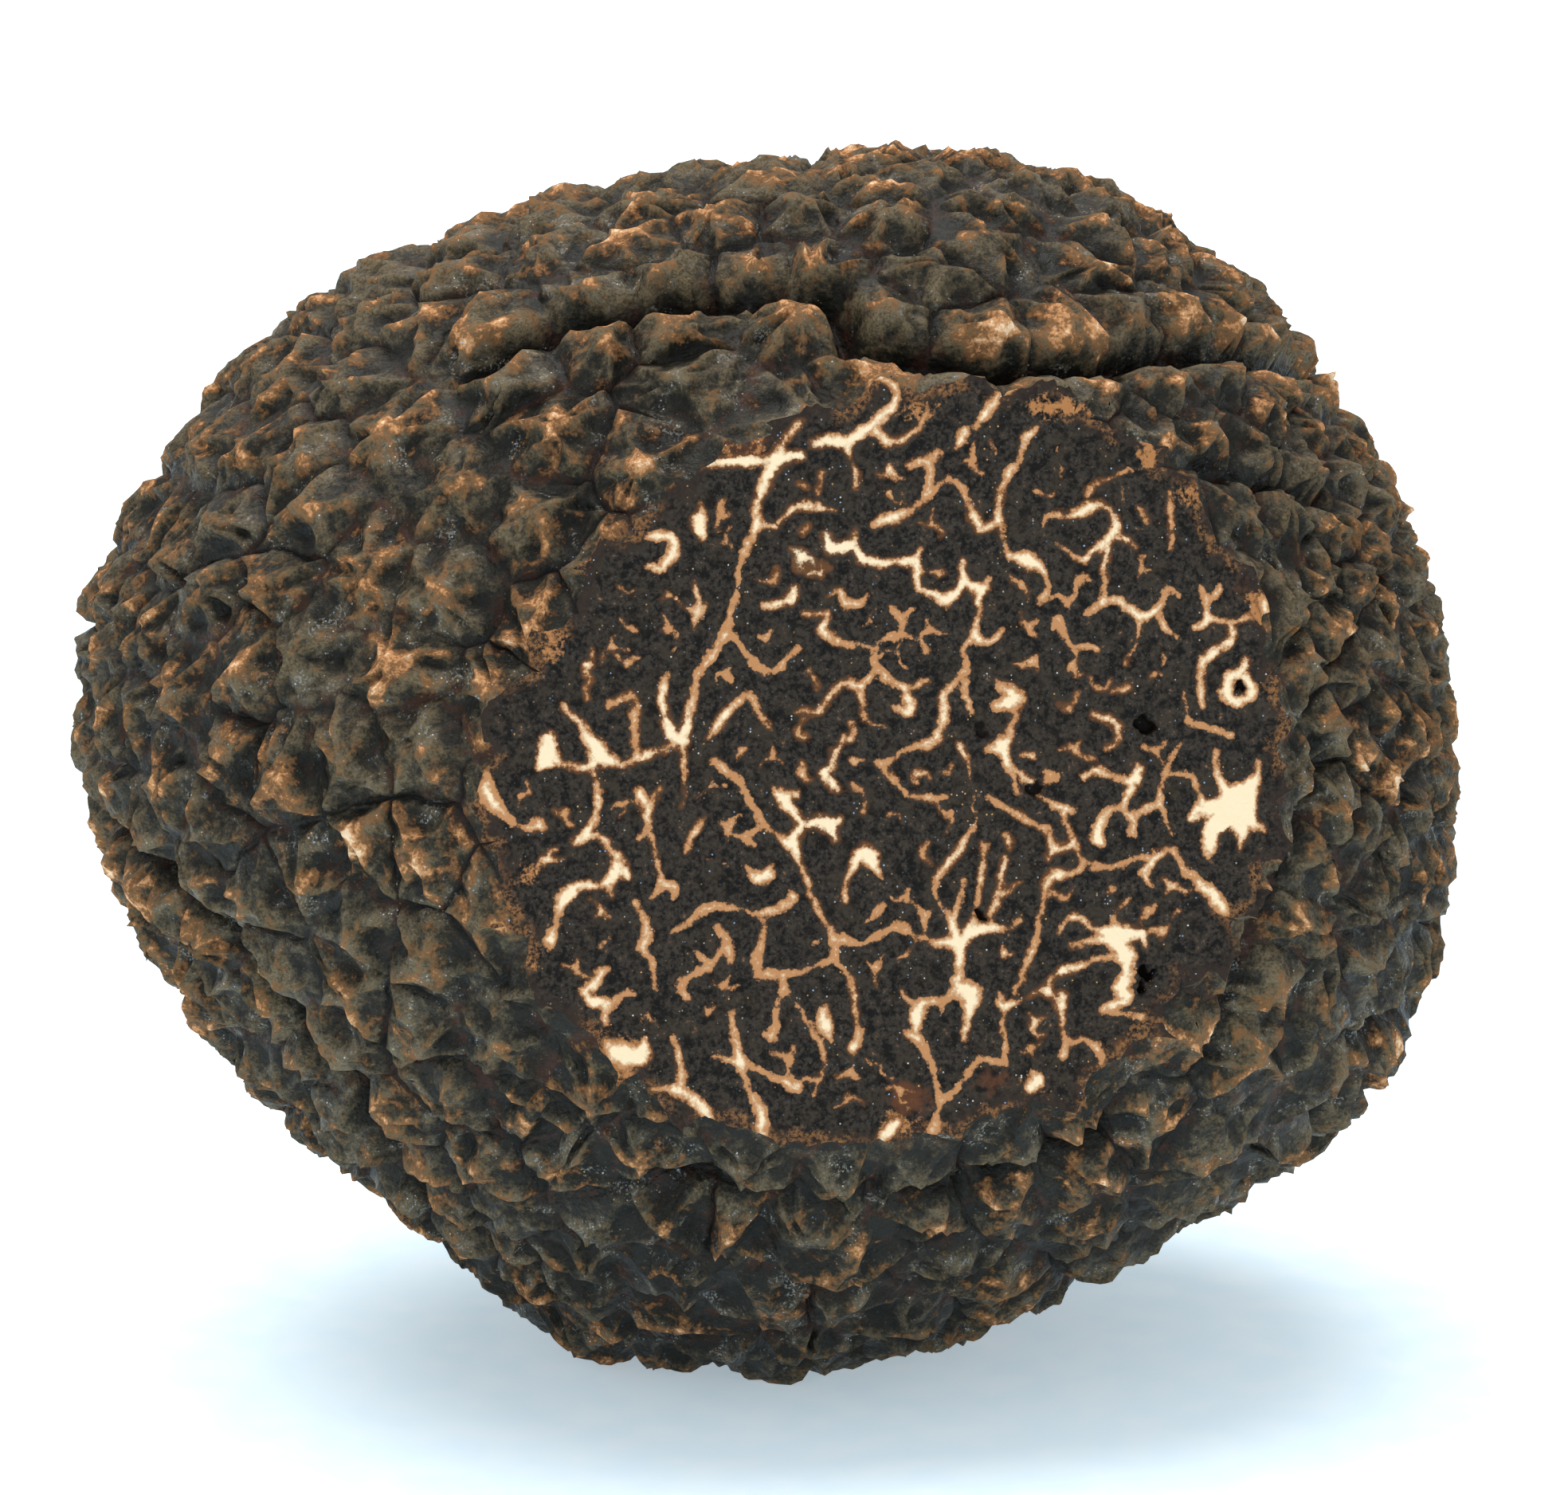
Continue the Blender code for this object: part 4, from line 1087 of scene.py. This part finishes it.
def grit_group():
    """Fine grains and pores: a height for bump, from 0 to 1."""
    group, given, result = new_group(
        "grit",
        [("Position", "NodeSocketVector", None), ("Grain per metre", "NodeSocketFloat", 4000.0),
         ("Pores", "NodeSocketFloat", 0.4)],
        [("Height", "NodeSocketFloat")],
    )
    sized = {"Vector": given["Position"], "Scale": given["Grain per metre"]}
    grains = place(group, "ShaderNodeTexVoronoi", sized, feature="SMOOTH_F1").outputs["Distance"]
    coarse = calculate(group, "MULTIPLY", given["Grain per metre"], 0.28)
    cloud = place(group, "ShaderNodeTexNoise", {"Vector": given["Position"], "Scale": coarse, "Detail": 4.0,
                                                "Roughness": 0.6}).outputs["Fac"]
    sunk = calculate(group, "MULTIPLY", grains, given["Pores"])
    group.links.new(calculate(group, "SUBTRACT", cloud, sunk), result["Height"])
    return group


def glitter_group():
    """Tiny bright grains, partly real grains and partly painted glints: a mask and a colour that goes from
    grain to grain.
    """
    group, given, result = new_group(
        "glitter",
        [("Position", "NodeSocketVector", None), ("Grains per metre", "NodeSocketFloat", 7000.0),
         ("Share", "NodeSocketFloat", 0.03)],
        [("Mask", "NodeSocketFloat"), ("Colour", "NodeSocketColor")],
    )
    sized = {"Vector": given["Position"], "Scale": given["Grains per metre"]}
    cells = place(group, "ShaderNodeTexVoronoi", sized)
    draws = place(group, "ShaderNodeSeparateColor", {"Color": cells.outputs["Color"]}).outputs
    chosen = calculate(group, "LESS_THAN", draws[0], given["Share"])
    small = step_up(group, cells.outputs["Distance"], 0.45, 0.20)
    group.links.new(calculate(group, "MULTIPLY", chosen, small), result["Mask"])
    cold = blend_colours(group, calculate(group, "GREATER_THAN", draws[1], 0.62), (0.85, 0.82, 0.76, 1),
                         (0.35, 0.55, 0.85, 1))
    warm = blend_colours(group, calculate(group, "GREATER_THAN", draws[2], 0.7), cold, (0.85, 0.45, 0.15, 1))
    group.links.new(warm, result["Colour"])
    return group


def use_group(tree, group, inputs):
    """A node that uses a group."""
    made = tree.nodes.new("ShaderNodeGroup")
    made.node_tree = group
    made.location.x = 190 * len(tree.nodes)
    for name, source in inputs.items():
        if isinstance(source, bpy.types.NodeSocket):
            tree.links.new(source, made.inputs[name])
        else:
            made.inputs[name].default_value = source
    return made.outputs


def new_material(name):
    """A material with its tree and its Principled shader."""
    material = bpy.data.materials.new(name)
    material.use_nodes = True
    tree = material.node_tree
    shader = tree.nodes["Principled BSDF"]
    return material, tree, shader


def shared_group(name, build):
    """A node group, built the first time that it is asked for."""
    return bpy.data.node_groups.get(name) or build()


def with_glitter(tree, position, where, colour):
    """A colour with bright grains over it, partly real grains and partly painted glints, mostly where a
    noise is high.
    """
    grains = {"Position": position, "Grains per metre": 11000.0, "Share": 0.05}
    glitter = use_group(tree, shared_group("glitter", glitter_group), grains)
    painted_glint = calculate(tree, "MULTIPLY", glitter["Mask"], step_up(tree, where, 0.50, 0.65, 0.05, 0.7))
    return blend_colours(tree, painted_glint, colour, glitter["Colour"])


def bumped(tree, height, distance):
    """The surface's direction, bent by a height."""
    inputs = {"Height": height, "Distance": distance * MM, "Strength": 1.0}
    return place(tree, "ShaderNodeBump", inputs).outputs["Normal"]


def gritty(tree, position, grain):
    """The height of fine grains, so many to the metre."""
    inputs = {"Position": position, "Grain per metre": grain}
    return use_group(tree, shared_group("grit", grit_group), inputs)["Height"]


def centred(tree, value, times, more=0.0):
    """A value from 0 to 1 moved to lie round 0, made larger, and added to another."""
    return calculate(tree, "ADD", calculate(tree, "MULTIPLY_ADD", value, times, -times / 2), more)


def rind_material(look):
    """Olive-black hollows, worn brown ridges and rusty, crumbly tips, with painted shade in the hollows,
    slits and low down, and painted sheen and glints.
    """
    material, tree, shader = new_material("truffle_rind")
    position = solid_position(tree)
    names = ("wear_and_hollow_shade", "tip", "draw", "slit", "valley", "furrow")
    wear_and_hollow_shade, tip, draw, slit, valley, furrow = (carried(tree, name) for name in names)
    above_table = place(tree, "ShaderNodeSeparateXYZ", {0: position}).outputs["Z"]
    # painted shade: below a height over the table the rind is painted darker and less rusty, where its
    # underside gets less light
    painted_low_shade = step_up(tree, above_table, look.painted_shade_below * MM, look.painted_shade_below * MM * 0.25)
    broad = spots_of(tree, position, 9.0, 2.0)
    patch = spots_of(tree, position, 1.3, 5.0, 0.65, 0.5)
    other = spots_of(tree, place(tree, "ShaderNodeVectorMath", {0: position, 1: (0.2, 0.3, 0.4)},
                                 operation="ADD").outputs[0], 0.9, 3.0, 0.6, 0.3)
    crumb = spots_of(tree, position, 0.30, 4.0, 0.72)
    fine = spots_of(tree, position, 0.10, 2.0)

    mottle = centred(tree, patch, 1.9, centred(tree, crumb, 1.8, centred(tree, broad, 1.0)))
    # painted shade: darker mottling low down
    mottle = calculate(tree, "MULTIPLY_ADD", painted_low_shade, -0.30, mottle)
    brown = step_up(tree, calculate(tree, "MULTIPLY_ADD", wear_and_hollow_shade, 0.30, mottle), -0.30, 0.80)
    rust = calculate(tree, "MULTIPLY_ADD", tip, 0.32, calculate(tree, "MULTIPLY", wear_and_hollow_shade, 0.16))
    rust = calculate(tree, "MULTIPLY_ADD", draw, 0.45, rust)
    rust = calculate(tree, "MULTIPLY_ADD", furrow, -0.35, rust)
    # painted shade: less rust low down
    rust = calculate(tree, "MULTIPLY_ADD", painted_low_shade, -0.15, rust)
    rust = centred(tree, other, 2.6, centred(tree, crumb, 1.1, centred(tree, fine, 0.7, rust)))
    rusty = step_up(tree, rust, 0.50, 1.00, 0.0, 0.9)
    orange = step_up(tree, rust, 0.92, 1.20)
    cream = step_up(tree, rust, 1.22, 1.50)

    base = blend_colours(tree, brown, look.hollow_colour, look.ridge_colour)
    # painted sheen: pale grey specks that stand in for the rind's satin reflections
    painted_sheen = calculate(tree, "MULTIPLY", step_up(tree, fine, 0.50, 0.64), step_up(tree, patch, 0.54, 0.66))
    in_valley = calculate(tree, "MULTIPLY", valley, step_up(tree, other, 0.48, 0.60))
    base = layered(tree, base, (
        (step_up(tree, fine, 0.40, 0.70, 0.0, 0.6), look.mottle_and_shade_colour),
        # painted shade: darker where the relief sinks below its surroundings, in the hollows
        (step_up(tree, wear_and_hollow_shade, -0.3, -1.6, 0.0, 0.7), look.mottle_and_shade_colour),
        # painted sheen laid over the base colour
        (calculate(tree, "MULTIPLY", painted_sheen, 0.55), look.painted_sheen_colour),
        (calculate(tree, "MULTIPLY", in_valley, 0.7), look.valley_colour),
        (rusty, look.rust_colour),
        (orange, look.orange_colour),
        (cream, look.cream_colour),
        # painted shade: near-black at the bottoms of the slits
        (calculate(tree, "MULTIPLY", slit, 0.85), look.crack_shade_colour),
    ))
    # bright specks over the base colour: partly real grains, partly painted glints
    tree.links.new(with_glitter(tree, position, patch, base), shader.inputs["Base Color"])

    roughness = step_up(tree, rust, 0.1, 0.7, look.rind_gloss, 0.85)
    tree.links.new(centred(tree, crumb, 0.4, roughness), shader.inputs["Roughness"])
    height = calculate(tree, "MULTIPLY_ADD", crumb, 0.9, gritty(tree, position, 4500.0))
    tree.links.new(bumped(tree, height, look.rind_grain), shader.inputs["Normal"])
    shader.inputs["Specular IOR Level"].default_value = look.rind_shine
    return material


def flesh_material(look):
    """Dark granular gleba with cream veins in orange-brown halos, and a reddish rim, with painted shade in
    its pits and painted glints.
    """
    material, tree, shader = new_material("truffle_flesh")
    position = solid_position(tree)
    vein, tone, rim, red, pit = (carried(tree, name) for name in ("vein", "tone", "rim", "red", "pit"))
    speck = spots_of(tree, position, 0.14, 3.0, 0.7)
    cloud = spots_of(tree, position, 0.8, 4.0, 0.6)
    slow = spots_of(tree, position, 3.0, 2.0)
    lace = spots_of(tree, position, 0.38, 3.0, 0.65)
    edge = centred(tree, speck, 0.26, centred(tree, cloud, 0.30, centred(tree, lace, 0.24, vein)))
    glow = step_up(tree, centred(tree, slow, 0.4, edge), 0.08, -0.05)
    orange = step_up(tree, edge, 0.015, -0.065)
    warmth = centred(tree, slow, 0.4, calculate(tree, "MULTIPLY", tone, 0.09))
    cream = step_up(tree, calculate(tree, "ADD", warmth, edge), -0.03, -0.19)

    grain = step_up(tree, centred(tree, lace, 0.6, speck), 0.34, 0.66)
    ground = blend_colours(tree, grain, look.gleba_dark, look.gleba_light)
    skin = step_up(tree, centred(tree, cloud, -1.2, rim), 0.55, 0.0)
    crumbly = calculate(tree, "MULTIPLY", step_up(tree, slow, 0.46, 0.56), step_up(tree, speck, 0.40, 0.62))
    crumbly = calculate(tree, "MULTIPLY", crumbly, step_up(tree, centred(tree, cloud, 1.6, rim), 0.50, 0.20))
    red = step_up(tree, centred(tree, lace, 1.2, red), 0.20, 1.00)
    ember = centred(tree, speck, 2.0, centred(tree, lace, 2.2, carried(tree, "ember")))
    ember = step_up(tree, ember, 0.45, 1.05)
    ground = layered(tree, ground, (
        (step_up(tree, cloud, 0.45, 0.70, 0.0, 0.6), look.gleba_warm),
        (step_up(tree, lace, 0.48, 0.34, 0.0, 0.75), look.gleba_dark),
        (calculate(tree, "MULTIPLY", skin, 0.8), look.skin_colour),
        (red, look.red_colour),
        (crumbly, look.rust_colour),
        (ember, look.ember_colour),
        (glow, look.halo_colour),
        (orange, look.vein_orange),
        (cream, look.vein_colour),
        # painted shade: near-black in the pits
        (step_up(tree, pit, 0.05, 0.25), look.crack_shade_colour),
    ))
    # bright specks over the flesh: partly real grains, partly painted glints
    tree.links.new(with_glitter(tree, position, cloud, ground), shader.inputs["Base Color"])
    tree.links.new(step_up(tree, speck, 0.2, 0.8, look.flesh_gloss, 0.75), shader.inputs["Roughness"])
    normal = bumped(tree, gritty(tree, position, 6500.0), look.flesh_bump)
    tree.links.new(normal, shader.inputs["Normal"])
    shader.inputs["Specular IOR Level"].default_value = look.flesh_shine
    return material


def floor_material(look):
    """A pale matt tabletop that also glows: painted light that lifts the shadow round the truffle."""
    material, tree, shader = new_material("pale_floor")
    cloud = spots_of(tree, solid_position(tree), 2.0, 4.0, 0.6)
    shade = blend_colours(tree, step_up(tree, cloud, 0.3, 0.7, 0.0, 0.25), look.floor_colour, (1, 1, 1, 1))
    tree.links.new(shade, shader.inputs["Base Color"])
    shader.inputs["Roughness"].default_value = 0.9
    # painted light: the floor glows in its own colour, though it is no lamp, to lift the shadow
    tree.links.new(shade, shader.inputs["Emission Color"])
    shader.inputs["Emission Strength"].default_value = look.floor_glow
    return material


# Stage, light and camera


def soft_light(name, source, width, strength, colour):
    """A broad, even light from far away: the way to its source, and its width as an angle."""
    light = bpy.data.lights.new(name, "SUN")
    light.angle = math.radians(width)
    light.energy = strength
    light.color = colour
    lamp = bpy.data.objects.new(name, light)
    bpy.context.scene.collection.objects.link(lamp)
    lamp.rotation_euler = (-Vector(source)).to_track_quat("-Z", "Y").to_euler()
    return lamp


def make_stage(look):
    """Pale floor, soft light from above and all round, and the camera."""
    bpy.ops.mesh.primitive_plane_add(size=look.floor_size * MM, location=(0, 0, 0))
    floor = bpy.context.object
    floor.name = "floor"
    floor.data.materials.append(floor_material(look))

    world = bpy.data.worlds.new("studio")
    bpy.context.scene.world = world
    world.use_nodes = True
    sky = world.node_tree.nodes["Background"]
    sky.inputs["Color"].default_value = (0.94, 0.97, 1.0, 1)
    sky.inputs["Strength"].default_value = look.sky_strength
    soft_light("overhead", (-0.15, 0.20, 1.0), 60, look.overhead_strength, (1.0, 0.99, 0.96))
    soft_light("front", (0.1, -1.0, 0.5), 80, look.front_strength, (0.97, 0.98, 1.0))

    lean = math.radians(LEAN)
    ahead = Vector((0, math.cos(lean), -math.sin(lean)))
    upward = Vector((0, math.sin(lean), math.cos(lean)))
    camera_data = bpy.data.cameras.new("camera")
    camera_data.lens = 180
    camera_data.sensor_width = 36
    camera_data.clip_start = 0.01
    camera = bpy.data.objects.new("camera", camera_data)
    bpy.context.scene.collection.objects.link(camera)
    place_at = Vector(CENTRE) - ahead * look.camera_distance + Vector((0.51, 0, 0)) + upward * 0.31
    camera.location = place_at * MM
    camera.rotation_euler = ahead.to_track_quat("-Z", "Y").to_euler()
    bpy.context.scene.camera = camera
    bpy.context.scene.view_settings.view_transform = "Standard"


# The add-on


def amount(name, description, default):
    """A number that a user may change."""
    return bpy.props.FloatProperty(name=name, description=description, default=default, precision=3)


def paint(name, description, default):
    """A colour that a user may change."""
    return bpy.props.FloatVectorProperty(name=name, description=description, default=(*default, 1), size=4,
                                         subtype="COLOR", min=0, max=1)


class TruffleLook(bpy.types.PropertyGroup):
    """Sizes in millimetres and colours of the truffle and its stage."""

    crack_depth: amount("Crack depth", "How far the valleys between warts go down", 0.52)
    tip_rise: amount("Tip rise", "Height of a wart's tip", 0.30)
    dome: amount("Dome", "How steeply a wart rises from its valley: 1 for a pyramid, 2 for a dome", 2.3)
    wart_lean: amount("Wart lean", "How far each wart tilts", 0.12)
    hollow_depth: amount("Hollow depth", "How far a wart's facets sink between its ridges", 0.28)
    crater_depth: amount("Crater depth", "Depth of the hole in the tips that have one", 0.28)
    crater_share: amount("Crater share", "Share of the warts with a hole in the tip", 0.32)
    wander: amount("Wander", "How far valleys and ridges stray from straight lines", 0.30)
    wander_size: amount("Wander size", "Length of the bends in valleys and ridges", 1.6)
    crease_size: amount("Crease size", "Distance between creases on the warts", 1.2)
    crease_depth: amount("Crease depth", "Depth of the creases", 0.18)
    ridge_height: amount("Ridge height", "Height of the small ridges", 0.10)
    lump_size: amount("Lump size", "Width of the lumps on the warts", 1.0)
    lump_height: amount("Lump height", "Height of the lumps on the warts", 0.16)
    valley_calm: amount("Valley calm", "Share of the roughness that reaches into the valleys", 0.45)
    slit_depth: amount("Slit depth", "Depth of the slits where a valley is torn open", 0.25)
    slit_width: amount("Slit width", "Half-width of those slits", 0.08)
    sag: amount("Sag", "How far raised parts hang down over what lies below", 0.30)
    rind_grain: amount("Rind grain", "Height of the rind's finest grain", 0.10)
    rind_gloss: amount("Rind roughness", "Roughness in the smooth hollows", 0.42)
    rind_shine: amount("Rind shine", "Strength of the rind's reflections", 0.17)
    # painted shade: height under which the rind is painted darker
    painted_shade_below: amount("Painted shade below", "Height under which the rind is darker", 20.0)
    hollow_colour: paint("Hollow", "Smooth hollows of the warts", (0.014, 0.013, 0.009))
    ridge_colour: paint("Ridge", "Worn ridges", (0.165, 0.124, 0.069))
    # the dark colour of random mottling, also used as painted shade in the hollows
    mottle_and_shade_colour: paint("Shade", "Dark mottling", (0.006, 0.006, 0.005))
    # painted sheen: pale grey specks in place of the rind's reflections
    painted_sheen_colour: paint("Painted sheen", "Pale grey specks", (0.36, 0.35, 0.31))
    valley_colour: paint("Valley", "Reddish skin in some valleys", (0.060, 0.022, 0.012))
    # painted shade for the bottoms of slits and pits
    crack_shade_colour: paint("Crack shade", "Bottoms of slits and pits", (0.006, 0.004, 0.003))
    rust_colour: paint("Rust", "Rust-brown crumbs", (0.23, 0.105, 0.040))
    orange_colour: paint("Orange", "Crumbly tips", (0.55, 0.27, 0.115))
    cream_colour: paint("Cream", "Palest crumbs", (0.85, 0.62, 0.40))

    vein_fillet: amount("Vein fillet", "How softly veins run into each other", 0.05)
    vein_wobble: amount("Vein wobble", "How far a vein's edges stray", 0.09)
    vein_wobble_size: amount("Vein wobble size", "Length of the bends in a vein's edges", 0.50)
    vein_rise: amount("Vein rise", "How far the veins stand out of the slice", 0.015)
    small_vein_gap: amount("Small vein gap", "Room that a small vein needs", 0.50)
    small_vein_darts: bpy.props.IntProperty(
        name="Small vein tries", description="Places tried for small veins", default=2500, min=0
    )
    flesh_wave: amount("Slice wave", "Height of the slice's slow waves", 0.05)
    flesh_grain: amount("Slice grain", "Height of the slice's grains", 0.02)
    flesh_bump: amount("Slice bump", "Height of the slice's finest grain", 0.05)
    flesh_gloss: amount("Slice roughness", "Least roughness of the slice", 0.45)
    flesh_shine: amount("Slice shine", "Strength of the slice's reflections", 0.08)
    gleba_dark: paint("Gleba dark", "Dark grains of the gleba", (0.0065, 0.006, 0.0055))
    gleba_light: paint("Gleba light", "Lighter grains of the gleba", (0.046, 0.036, 0.028))
    gleba_warm: paint("Gleba warm", "Warmer clouds in the gleba", (0.046, 0.033, 0.022))
    skin_colour: paint("Skin", "Band under the rind", (0.034, 0.022, 0.017))
    red_colour: paint("Red patch", "Translucent patches near the rim", (0.11, 0.042, 0.020))
    ember_colour: paint("Ember", "Orange crumbs near the rim", (0.42, 0.18, 0.065))
    halo_colour: paint("Halo", "Brown halo round the veins", (0.13, 0.052, 0.020))
    vein_colour: paint("Vein", "Pale veins", (0.92, 0.72, 0.47))
    vein_orange: paint("Orange vein", "Veins that turn orange", (0.50, 0.23, 0.095))

    floor_size: amount("Floor size", "Side of the floor", 4000.0)
    floor_colour: paint("Floor", "Tabletop", (0.74, 0.90, 1.0))
    # painted light: the floor glows, though it is no lamp
    floor_glow: amount("Floor glow", "Light that comes through the tabletop", 0.44)
    sky_strength: amount("Sky strength", "Light from all round", 0.60)
    overhead_strength: amount("Overhead strength", "Light from above", 2.7)
    front_strength: amount("Front strength", "Light from low in front", 0.4)
    camera_distance: amount("Camera distance", "From the camera to the truffle's centre", 280.0)


class TRUFFLE_OT_rind(bpy.types.Operator):
    """Make the warty rind, with the slice taken off"""

    bl_idname = "truffle.rind"
    bl_label = "Make Rind"

    def execute(self, context):
        make_rind(context.scene.truffle_look)
        return {"FINISHED"}


class TRUFFLE_OT_cut_face(bpy.types.Operator):
    """Fill the slice with marbled flesh; it follows the rim of the rind"""

    bl_idname = "truffle.cut_face"
    bl_label = "Make Cut Face"

    def execute(self, context):
        make_cut_face(context.scene.truffle_look)
        return {"FINISHED"}


class TRUFFLE_OT_stage(bpy.types.Operator):
    """Make the floor, the lights and the camera"""

    bl_idname = "truffle.stage"
    bl_label = "Make Stage"

    def execute(self, context):
        make_stage(context.scene.truffle_look)
        return {"FINISHED"}


class TRUFFLE_PT_panel(bpy.types.Panel):
    """The truffle's pieces and its sizes and colours"""

    bl_idname = "TRUFFLE_PT_panel"
    bl_label = "Black Truffle"
    bl_space_type = "VIEW_3D"
    bl_region_type = "UI"
    bl_category = "Truffle"

    def draw(self, context):
        for operator in OPERATORS:
            self.layout.operator(operator.bl_idname)
        look = context.scene.truffle_look
        for name in look.bl_rna.properties.keys():
            if name not in ("rna_type", "name"):
                self.layout.prop(look, name)


OPERATORS = (TRUFFLE_OT_rind, TRUFFLE_OT_cut_face, TRUFFLE_OT_stage)
CLASSES = (TruffleLook, *OPERATORS, TRUFFLE_PT_panel)


def register():
    """Add the classes and the truffle's settings."""
    for one in CLASSES:
        bpy.utils.register_class(one)
    bpy.types.Scene.truffle_look = bpy.props.PointerProperty(type=TruffleLook)


def unregister():
    """Take them away again."""
    del bpy.types.Scene.truffle_look
    for one in reversed(CLASSES):
        bpy.utils.unregister_class(one)


def main():
    """Make every piece."""
    register()
    bpy.ops.truffle.rind()
    bpy.ops.truffle.cut_face()
    bpy.ops.truffle.stage()


if __name__ == "__main__":
    main()
